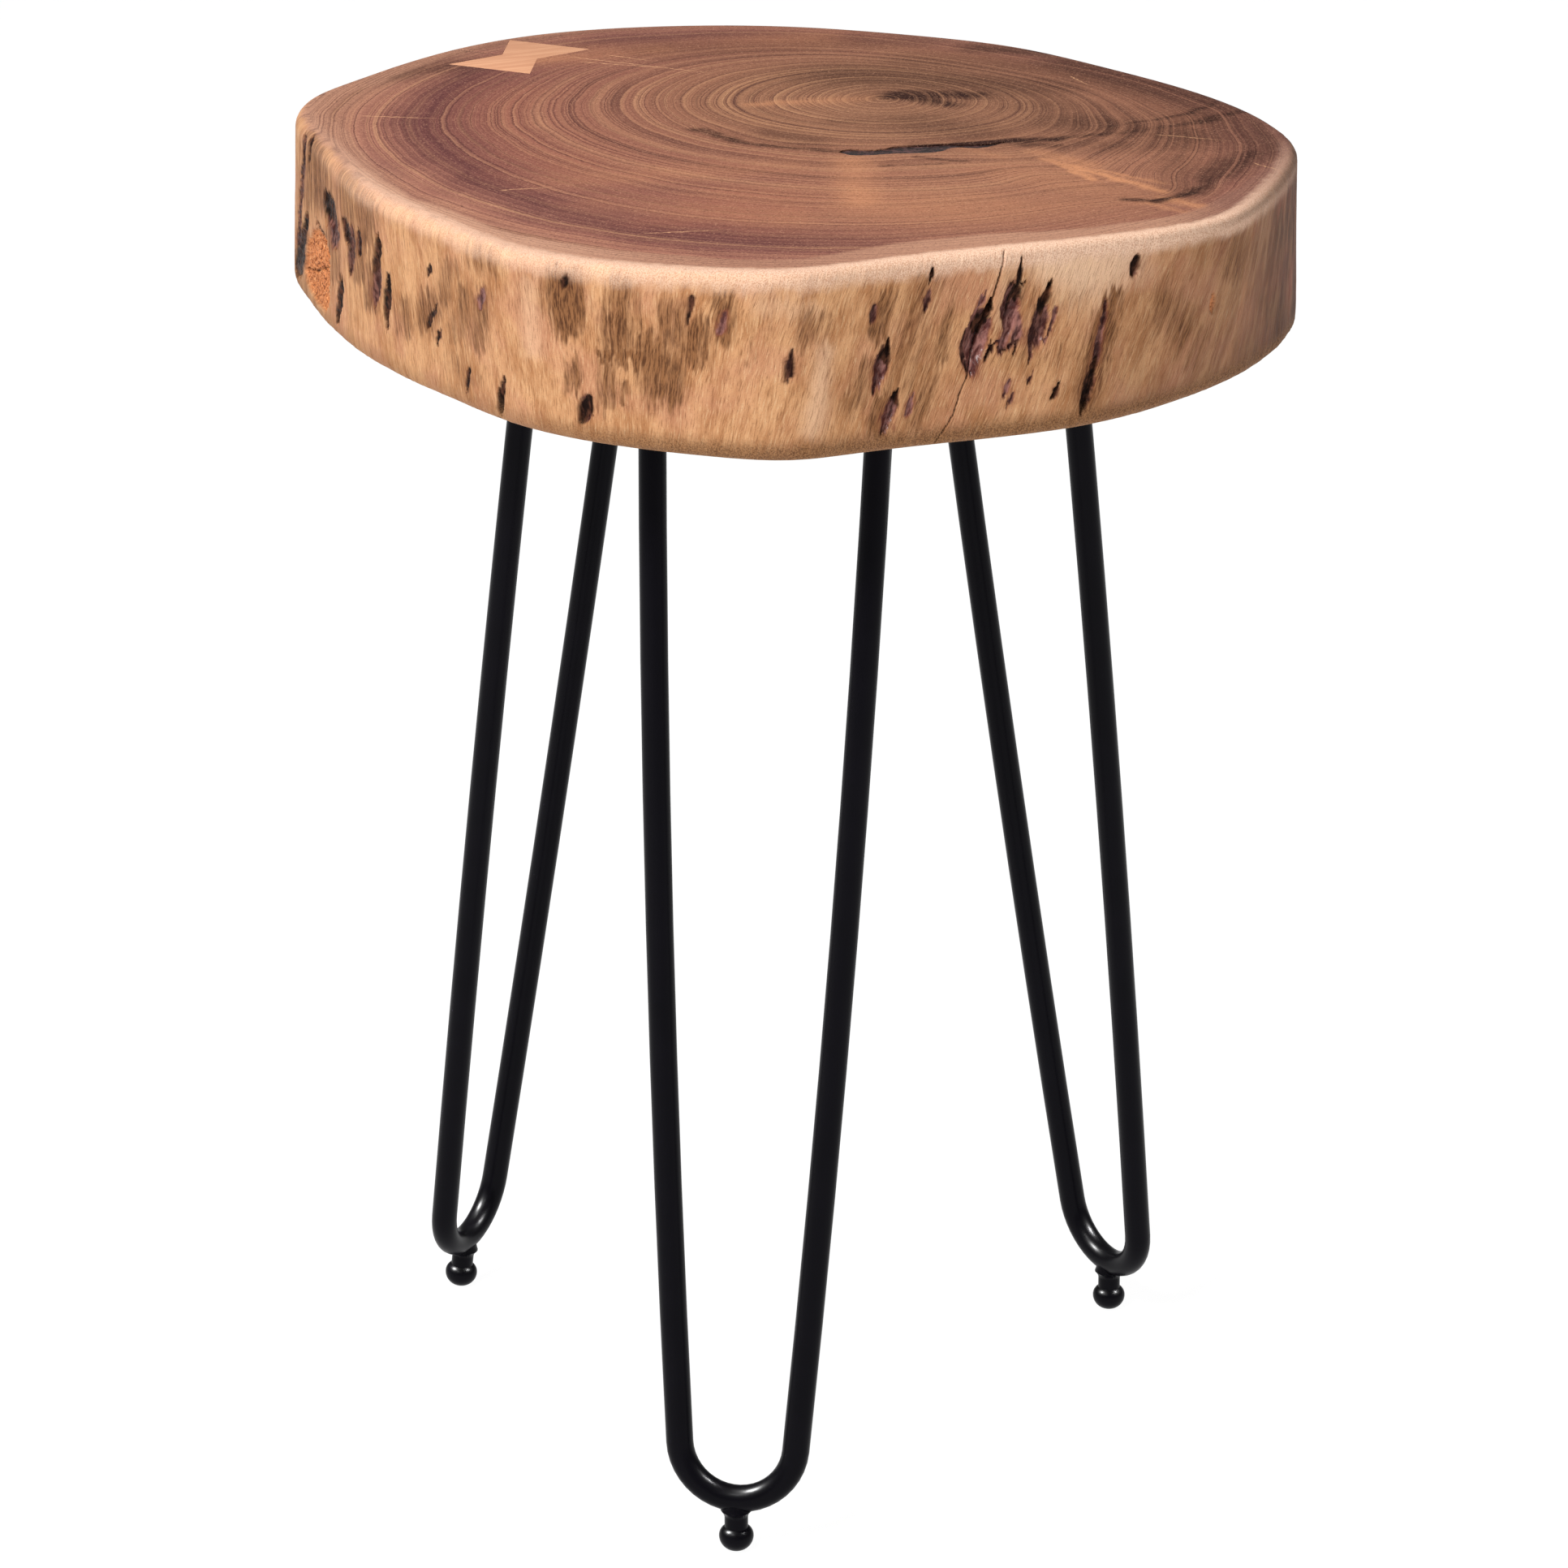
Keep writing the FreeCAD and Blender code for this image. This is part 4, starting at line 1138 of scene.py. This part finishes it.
def scratched(wood, place, colour, tremble):
    """The colour with pale hairlines that fade out at their ends."""
    dot = {"operation": "DOT_PRODUCT"}
    for start_x, start_y, end_x, end_y in scratches:
        start, end = (Vector((x, y, 0)) * mm for x, y in ((start_x, start_y), (end_x, end_y)))
        run = (end - start).normalized()
        length = (end - start).length
        away = wood.node("VectorMath", {"operation": "SUBTRACT"}, {0: place, 1: start})
        along = wood.node("VectorMath", dot, {0: away, 1: run}, "Value")
        aside = wood.node("VectorMath", dot, {0: away, 1: (-run.y, run.x, 0)}, "Value")
        aside = wood.node("Math", {"operation": "ABSOLUTE"}, {0: aside + (tremble - 0.5) * 0.003})
        ends = wood.step(along, 0.0, 0.004) * (1.0 - wood.step(along, length - 0.02, length))
        colour = wood.blend(colour, tint(226, 172, 130), (1.0 - wood.step(aside, 0.0, 0.0006)) * ends * 0.75)
    return colour


print(len(scratches), "scratches")

# %% End grain of the top
def end_grain(wood, place):
    """Colour of the sawn top, and the height of its rings and pores."""
    ring = wood.painted("ring")
    drift = wood.cloud(place, 24.0, 3.0)
    tremble = wood.cloud(place, 420.0, 2.0)
    line = ring + (drift - 0.5) * 0.0024 + (tremble - 0.5) * 0.0007
    share = ring / ring_mean
    across = wood.node("SeparateXYZ", {}, {0: place}, "X")
    fade = wood.step(wood.cloud(place, 16.0, 2.0), 0.30, 0.66)
    contrast = (1.0 - 0.45 * wood.step(share, 0.30, 0.70)) * (0.55 + 0.45 * fade)
    clear = 1.0 - 0.65 * wood.step(across, 0.05, 0.14)
    hair = wood.bands(line, 1250.0, 3.0, 0.7)
    pores = wood.cloud(place, 1150.0, 2.0, 0.7)

    colour = heartwood(wood, place, share, drift, across)
    colour, broad, pale = ringed(wood, colour, line, contrast, clear, hair)
    # Pale flame, whose broad strokes are a painted sheen on the front.
    colour = wood.blend(colour, tint(214, 148, 106), wood.painted("blaze") * (0.30 + 0.35 * fade))
    # Dark smoke, whose broad strokes are painted shade at the back right.
    smoke = wood.painted("smoke") * (1.35 - 0.5 * pale - 0.7 * (1.0 - wood.step(broad, 0.30, 0.56)))
    colour = wood.blend(colour, tint(54, 30, 24), smoke)
    colour = wood.blend(colour, sapwood(wood, place, across, hair), wood.painted("sap") * 0.85)
    colour = wood.blend(colour, tint(220, 166, 134), wood.step(pores, 0.54, 0.76) * 0.46)
    colour = wood.blend(colour, tint(52, 31, 29), (1.0 - wood.step(pores, 0.26, 0.46)) * 0.64)
    return scratched(wood, place, colour, tremble), pores + hair * 0.4


print("end grain is ready for the top")

# %% [markdown]
# ## The wall's long grain
#
# On the wall the fibres run up the trunk and lean with its spiral. Stretched noise that is read at the
# wall's own places would smear where the wall leans, so it is read on a round trunk, with the places turned
# by the painted layer called twist. Over it come the weather, which is also painted shade on the right end
# and the back, the stains, the bark, the torn patch and the cracks, each where its layer says.

# %% Stripped wood
def trunk_place(wood, place):
    """Where a place of the wall lies on a round trunk with straight fibres."""
    wobble = (wood.cloud(place, 55.0, 2.0) - 0.5) * 0.016
    inputs = {"Vector": place, "Angle": wood.painted("twist") + wobble}
    turned = wood.node("VectorRotate", {"rotation_type": "Z_AXIS"}, inputs)
    around = wood.node("VectorMath", {"operation": "NORMALIZE"}, {0: wood.stretched(turned, 1.0, 1.0, 0.0)})
    around = wood.stretched(around, trunk_reach, trunk_reach, 0.0)
    upward = wood.stretched(place, 0.0, 0.0, 1.0)
    return wood.node("VectorMath", {"operation": "ADD"}, {0: around, 1: upward})


def stripped_wood(wood, place, trunk, fibres, grit, height):
    """Colour of the wall under its marks: streaked, sanded, weathered and stained. The sanded patches
    are partly a painted highlight, and the weathered tone is partly painted shade.
    """
    streaks = wood.cloud(wood.stretched(trunk, 1.0, 1.0, 0.22), 170.0, 4.0, 0.6)
    patches = wood.cloud(place, 38.0, 3.0)
    colour = wood.blend(tint(224, 168, 121), tint(190, 132, 88), wood.step(streaks, 0.36, 0.66))
    colour = wood.blend(colour, tint(208, 146, 114), wood.step(patches, 0.42, 0.70) * 0.6)
    # Pale patches: sanded wood, and a painted highlight on the bulges that catch the light.
    colour = wood.blend(colour, tint(255, 212, 176), wood.painted("sanded"))
    colour = wood.blend(colour, tint(122, 78, 46), wood.step(fibres, 0.50, 0.72) * 0.60)
    colour = wood.blend(colour, tint(246, 206, 160), (1.0 - wood.step(fibres, 0.28, 0.48)) * 0.50)
    colour = wood.blend(colour, tint(120, 78, 50), wood.step(grit, 0.55, 0.75) * 0.35)

    # The weathered tone is partly painted shade, darkest on the right end, away from the lamps.
    weather = wood.painted("weather")
    weathered_and_shaded = wood.blend(tint(80, 51, 43), tint(120, 79, 65), wood.step(fibres * 0.6 + patches * 0.4, 0.40, 0.62))
    blush = wood.step(wood.cloud(wood.stretched(trunk, 1.0, 1.0, 0.35), 60.0, 2.0), 0.50, 0.68)
    weathered_and_shaded = wood.blend(weathered_and_shaded, tint(152, 88, 70), blush * 0.6)
    colour = wood.blend(colour, weathered_and_shaded, weather * (0.72 + 0.2 * wood.step(streaks, 0.35, 0.60)))
    # Darker towards the bottom, where the weather layer is strong.
    colour = wood.blend(colour, tint(74, 48, 40), weather * (1.0 - wood.step(height, 0.0, 0.032)) * 0.5)

    stain = wood.painted("stain")
    lines = wood.cloud(wood.stretched(trunk, 1.0, 1.0, 0.05), 430.0, 3.0, 0.65)
    broken = wood.step(lines + stain * 0.62, 0.58, 1.0) * wood.step(stain, 0.0, 0.3)
    soft = wood.blend(tint(150, 102, 66), tint(92, 58, 38), wood.step(fibres, 0.40, 0.62))
    return wood.blend(colour, soft, broken * 0.74 + stain * 0.30)


print("fibres run on a trunk of", round(trunk_reach / mm), "mm radius")

# %% Long grain of the wall
def marked(wood, colour, trunk, fibres, crumbs):
    """The colour with bark, the torn patch and cracks where the layers say so."""
    rosy = wood.painted("rosy")
    flakes = wood.cloud(wood.stretched(trunk, 1.0, 1.0, 0.3), 480.0, 3.0, 0.6)
    bark = wood.blend(tint(30, 17, 13), tint(98, 60, 44), wood.step(flakes, 0.42, 0.70))
    pink = wood.blend(tint(86, 42, 38), tint(170, 116, 106), wood.step(flakes, 0.40, 0.66))
    torn = wood.blend(tint(214, 134, 84), tint(112, 54, 28), wood.step(crumbs, 0.48, 0.66))
    torn = wood.blend(torn, tint(246, 184, 130), (1.0 - wood.step(crumbs, 0.30, 0.46)) * 0.8)
    colour = wood.blend(colour, tint(138, 76, 58), rosy * (0.35 + 0.7 * wood.step(fibres, 0.35, 0.62)) * 0.8)
    colour = wood.blend(colour, wood.blend(bark, pink, wood.step(rosy, 0.15, 0.9)), wood.painted("bark"))
    colour = wood.blend(colour, torn, wood.painted("torn"))
    return wood.blend(colour, tint(36, 20, 16), wood.painted("crack"))


def long_grain(wood, place):
    """Colour of the stripped wall, and the height of its fibres."""
    trunk = trunk_place(wood, place)
    fibres = wood.cloud(wood.stretched(trunk, 1.0, 1.0, 0.10), 1700.0, 3.0, 0.65)
    grit = wood.cloud(place, 1500.0, 2.0, 0.7)
    crumbs = wood.cloud(place, 700.0, 3.0, 0.65)
    height = wood.node("SeparateXYZ", {}, {0: place}, "Z") - slab_low.z
    colour = stripped_wood(wood, place, trunk, fibres, grit, height)
    colour = marked(wood, colour, trunk, fibres, crumbs)

    from_left = wood.step(wood.node("SeparateXYZ", {}, {0: place}, "X"), -0.15, -0.03)
    sawn_edge = (1.0 - wood.step(height + (crumbs - 0.5) * 0.006, 0.004, 0.012)) * 0.85
    worn = wood.blend(tint(88, 58, 38), tint(162, 117, 79), wood.step(grit, 0.35, 0.65))
    colour = wood.blend(colour, worn, sawn_edge * (0.4 + 0.6 * from_left))
    return colour, fibres + crumbs * 0.3 + grit * 0.3


print("long grain is ready for the wall")

# %% [markdown]
# ## Dressing the slab
#
# The two grains meet on the rounded edge, which the sander left pale and which catches the light, so a
# speckled pale tint goes over it where its layer says: part sanded wood, part painted highlight. Fibres
# and pores could be modelled, but a bump that only bends the light costs less than a finer mesh. A helper
# then puts the mesh into the scene, in the place of its CAD node.

# %% Slab finish
def slab_finish():
    wood = Finish("slab_wood")
    place = wood.place()
    top_colour, top_height = end_grain(wood, place)
    wall_colour, wall_height = long_grain(wood, place)
    top = wood.painted("top")
    bark = wood.painted("bark")
    height = top_height * top * 0.3 + wall_height * (1.0 - top)
    speckle = wood.step(wood.cloud(place, 1700.0, 2.0, 0.7), 0.40, 0.66)
    pale_edge_highlight = wood.blend(tint(252, 214, 186), tint(214, 166, 138), speckle)
    # Over the rounded edge goes the pale tint: sanded wood and a painted highlight.
    colour = wood.blend(wood.blend(wall_colour, top_colour, top), pale_edge_highlight, wood.painted("arris") * 0.88)
    wood.surface(
        base_color=colour,
        roughness=0.52 - 0.06 * top + (wall_height - 0.5) * 0.16 - 0.16 * bark,
        normal=wood.raised(height, 0.0005, 0.6),
        coat_weight=bark * wood.step(wood.painted("rosy"), 0.3, 0.9) * 0.4)
    wood.surface(specular_ior_level=0.05, coat_roughness=0.25)
    return wood.material


def shown(name, mesh, material, slot, *nodes):
    """Puts a mesh into the scene on the table's body, in the place of CAD nodes."""
    piece = bpy.data.objects.new(name, mesh)
    scene.collection.objects.link(piece)
    mesh.materials.clear()
    mesh.materials.append(material)
    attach(piece, "root")
    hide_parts(*nodes)
    if slot == "black_steel":
        black_pieces.objects.link(piece)
    return piece


slab = shown("slab", slab_mesh, slab_finish(), "slab_wood", "slab_top")
print(slab.name, "dressed")

# %% [markdown]
# ## The butterfly key
#
# The key is a bow tie of paler wood, let in across the check so that it cannot open further. Its
# outline is the CAD one. Planing by hand leaves its arrises a hair rounded, so the copy is bevelled,
# and its finish draws straight grain that runs slantwise across it.

# %% Copy and dress CAD pieces
weld_reach = 1e-6
flat_angle = math.radians(1)
arris_angle = math.radians(40)


def dressed(node, shape, material, slot, sharp_angle=35.0):
    """A copy of a CAD piece, welded at its seams and shaped, that stands for it."""
    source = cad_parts[node].data
    mesh = bpy.data.meshes.new(node + "_piece")
    mesh.from_pydata([v.co for v in source.vertices], [], [p.vertices[:] for p in source.polygons])
    work = bmesh.new()
    work.from_mesh(mesh)
    bmesh.ops.remove_doubles(work, verts=work.verts, dist=weld_reach)
    bmesh.ops.recalc_face_normals(work, faces=work.faces)
    shape(work)
    work.to_mesh(mesh)
    work.free()
    mesh.shade_smooth()
    mesh.set_sharp_from_angle(angle=math.radians(sharp_angle))
    return shown(node + "_piece", mesh, material, slot, node)


def bevelled(width):
    """A shaper that joins flat facets and rounds every arris by a width."""
    def shape(work):
        bmesh.ops.dissolve_limit(work, angle_limit=flat_angle, verts=work.verts, edges=work.edges)
        arrises = [edge for edge in work.edges if len(edge.link_faces) == 2
                   and edge.calc_face_angle() > arris_angle]
        bmesh.ops.bevel(work, geom=arrises, offset=width, segments=2, profile=0.5, affect="EDGES")
    return shape


print("dressed:", dressed.__doc__)

# %% Key
key_grain = math.radians(25)
key_bevel = 0.15 * mm


def key_finish():
    wood = Finish("key_wood")
    inputs = {"Vector": wood.place(), "Angle": -key_grain}
    turned = wood.node("VectorRotate", {"rotation_type": "Z_AXIS"}, inputs)
    along = wood.stretched(turned, 0.09, 1.0, 1.0)
    broad = wood.cloud(along, 240.0, 2.0, 0.55)
    fine = wood.cloud(along, 1300.0, 3.0, 0.65)
    colour = wood.blend(tint(222, 164, 126), tint(208, 148, 112), wood.step(broad, 0.38, 0.64))
    colour = wood.blend(colour, tint(188, 124, 88), wood.step(fine, 0.54, 0.76) * 0.5)
    wood.surface(base_color=colour, roughness=0.42 + fine * 0.12, normal=wood.raised(fine, 0.0003, 0.4))
    wood.surface(specular_ior_level=0.4)
    return wood.material


key = dressed("butterfly_key", bevelled(key_bevel), key_finish(), "key_wood")
print(key.name, len(key.data.polygons), "faces")

# %% [markdown]
# ## The resin
#
# Dark resin was poured where bark had grown into the trunk, and it set with bubbles and a wet shine. A
# flat face with a bump would look painted on, so its surface is a fine net of points, set just below
# the top and lumpy, with its edge drawn down at the ragged lip of the pocket.

# %% Resin's net
resin_spacing = 0.7 * mm
resin_sink = 0.25 * mm
resin_lumps = 0.45 * mm
resin_pricks = 0.25 * mm
border_sink = 0.5 * mm
fill_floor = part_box("resin_fill")[0].z
fill_local = fill_outline - fill_middle
resin_grid = grid_in(fill_local, resin_spacing)
resin_grid = resin_grid[inside(resin_grid, fill_local)]
resin_places, resin_faces, resin_given = triangulated(
    [fill_local], resin_grid, lambda points: inside(points, fill_local))
resin_plan = resin_places + fill_middle
lumps = rough(np.column_stack([resin_plan, np.zeros(len(resin_plan))]), 3.2 * mm)
pricks = rough(np.column_stack([resin_plan, np.ones(len(resin_plan))]), 1.1 * mm, 2)
resin_levels = slab_high.z - resin_sink - resin_lumps * (0.5 + 0.5 * lumps) - resin_pricks * np.abs(pricks)
border = np.array([0 <= origin < len(fill_local) for origin in resin_given])
resin_levels[border] = slab_high.z - border_sink
resin_top = np.column_stack([resin_plan, np.minimum(resin_levels, slab_high.z)])
edge_numbers = [resin_given.index(step) for step in range(len(fill_local))]
resin_base = np.column_stack([fill_outline, np.full(len(fill_outline), fill_floor)])
base_numbers = list(range(len(resin_top), len(resin_top) + len(resin_base)))
resin_sides = [[edge_numbers[here - 1], base_numbers[here - 1], base_numbers[here], edge_numbers[here]]
               for here in range(len(fill_local))]
print(len(resin_top), "points on the resin")

# %% Resin's mesh and finish
resin_mesh = bpy.data.meshes.new("resin")
resin_mesh.from_pydata(
    np.concatenate([resin_top, resin_base]).tolist(), [],
    counter_clockwise(resin_places, resin_faces).tolist() + resin_sides + [base_numbers[::-1]])
resin_mesh.shade_smooth()
resin_mesh.set_sharp_from_angle(angle=math.radians(60))


def resin_finish():
    resin = Finish("resin")
    place = resin.place()
    swirl = resin.cloud(place, 320.0, 3.0)
    bubbles = resin.cloud(place, 1500.0, 2.0, 0.7)
    colour = resin.blend(tint(40, 26, 26), tint(92, 62, 60), resin.step(swirl, 0.42, 0.68))
    resin.surface(base_color=colour, roughness=0.16 + 0.22 * swirl, normal=resin.raised(bubbles, 0.0004, 0.6))
    return resin.material


resin = shown("resin", resin_mesh, resin_finish(), "resin", "resin_fill")
print(len(resin_mesh.polygons), "faces in the resin")

# %% [markdown]
# ## Legs, plates, welds and feet
#
# Each hairpin is one bent bar welded to a plate above and to a ball foot below, and all of it has the
# same satin black coat. The CAD shapes are right, so copies are kept and given what CAD leaves out:
# rounded plate edges, rippled weld beads, and a coat with the faint dimples that sprayed paint has.

# %% Black coat
def black_coat():
    coat = Finish("black_steel")
    place = coat.place()
    dimples = coat.cloud(place, 900.0, 2.0, 0.5)
    wear = coat.cloud(place, 55.0, 3.0)
    colour = coat.blend(tint(8, 7, 12), tint(14, 12, 19), wear)
    coat.surface(
        base_color=colour, roughness=0.25 + 0.06 * wear + 0.03 * dimples,
        normal=coat.raised(dimples, 0.00003, 0.15))
    coat.surface(specular_ior_level=0.06)
    return coat.material


coat = black_coat()
print(coat.name, "is ready")

# %% Weld ripples
ripple_pitch = 1.7 * mm
ripple_depth = 0.22 * mm


def rippled(work):
    """A shaper that draws the scales of a weld bead along it, by sinking the skin."""
    work.normal_update()
    moves = []
    for vert in work.verts:
        wave = math.sin(2 * math.pi * (vert.co.x + vert.co.y + 0.6 * vert.co.z) / ripple_pitch)
        lump = noise.noise(vert.co / (2.5 * mm))
        moves.append((vert, vert.normal * ripple_depth * (0.5 + 0.25 * wave + 0.25 * lump)))
    for vert, move in moves:
        vert.co -= move


print("weld scales every", round(ripple_pitch / mm, 1), "mm")

# %% Dress the legs
def plain(work):
    """A shaper that leaves a piece as the CAD has it."""


leg_names = ("front", "left", "right")
plate_bevel = 0.5 * mm
round_angle = 50.0
bead_angle = 60.0
for leg in leg_names:
    dressed("hairpin_rod_" + leg, plain, coat, "black_steel", round_angle)
    dressed("mounting_plate_" + leg, bevelled(plate_bevel), coat, "black_steel")
    dressed("plate_weld_" + leg, rippled, coat, "black_steel", bead_angle)
    dressed("ball_foot_" + leg, plain, coat, "black_steel", round_angle)
    dressed("foot_weld_" + leg, rippled, coat, "black_steel", bead_angle)
print(len(leg_names), "legs in black")

# %% [markdown]
# ## Screws
#
# Twelve pan-headed screws hold the plates up under the slab, and each head needs a cross recess for the
# driver. A dark cross painted on the head would do from afar, but a real recess has depth from every side,
# so two crossed blades are cut out of each head with a boolean.

# %% Screw steel
def screw_finish():
    steel = Finish("screw_steel")
    place = steel.place()
    grains = steel.cloud(place, 700.0, 3.0, 0.6)
    colour = steel.blend(tint(168, 166, 160), tint(206, 205, 200), grains)
    steel.surface(base_color=colour, roughness=0.28 + 0.2 * grains, normal=steel.raised(grains, 0.0001, 0.3))
    steel.surface(metallic=1.0)
    return steel.material


bright_steel = screw_finish()
print(bright_steel.name, "is ready")

# %% Cutter for the recesses
recess_span = 4.6 * mm
recess_blade = 1.0 * mm
recess_depth = 1.9 * mm
head_ring = 0.01 * mm
head_reach = 12 * mm


def heads_of(mesh):
    """The middle of each screw's head: the points of its lowest ring, gathered by nearness."""
    lowest = min(v.co.z for v in mesh.vertices)
    heads = []
    for vert in mesh.vertices:
        if vert.co.z < lowest + head_ring:
            near = [head for head in heads if (head[0] - vert.co).length < head_reach]
            if near:
                near[0].append(vert.co.copy())
            else:
                heads.append([vert.co.copy()])
    return [sum((co - head[0] for co in head), Vector()) / len(head) + head[0] for head in heads]


def crossed_blades(heads):
    """A cutter for the recesses: two thin boxes across each other at every head."""
    work = bmesh.new()
    for head in heads:
        for span_x, span_y in ((recess_span, recess_blade), (recess_blade, recess_span)):
            made = bmesh.ops.create_cube(work, size=1.0)["verts"]
            bmesh.ops.scale(work, vec=(span_x, span_y, 2 * recess_depth), verts=made)
            bmesh.ops.translate(work, vec=head, verts=made)
    mesh = bpy.data.meshes.new("recess_cutter")
    work.to_mesh(mesh)
    work.free()
    cutter = bpy.data.objects.new("recess_cutter", mesh)
    scene.collection.objects.link(cutter)
    return cutter


print("each recess is", round(recess_span / mm, 1), "mm across")

# %% Cut the recesses
for leg in leg_names:
    screws = dressed("plate_screws_" + leg, plain, bright_steel, "screw_steel")
    cutter = crossed_blades(heads_of(screws.data))
    punch = screws.modifiers.new("recess", "BOOLEAN")
    punch.operation = "DIFFERENCE"
    punch.solver = "EXACT"
    punch.use_self = True
    punch.object = cutter
    punched = bpy.data.meshes.new_from_object(screws.evaluated_get(bpy.context.evaluated_depsgraph_get()))
    screws.modifiers.clear()
    screws.data = punched
    punched.set_sharp_from_angle(angle=math.radians(35))
    bpy.data.objects.remove(cutter)
    print(screws.name, len(punched.polygons), "faces")

# %% [markdown]
# ## Sizes
#
# The dressed table has to stay inside the CAD model's box.
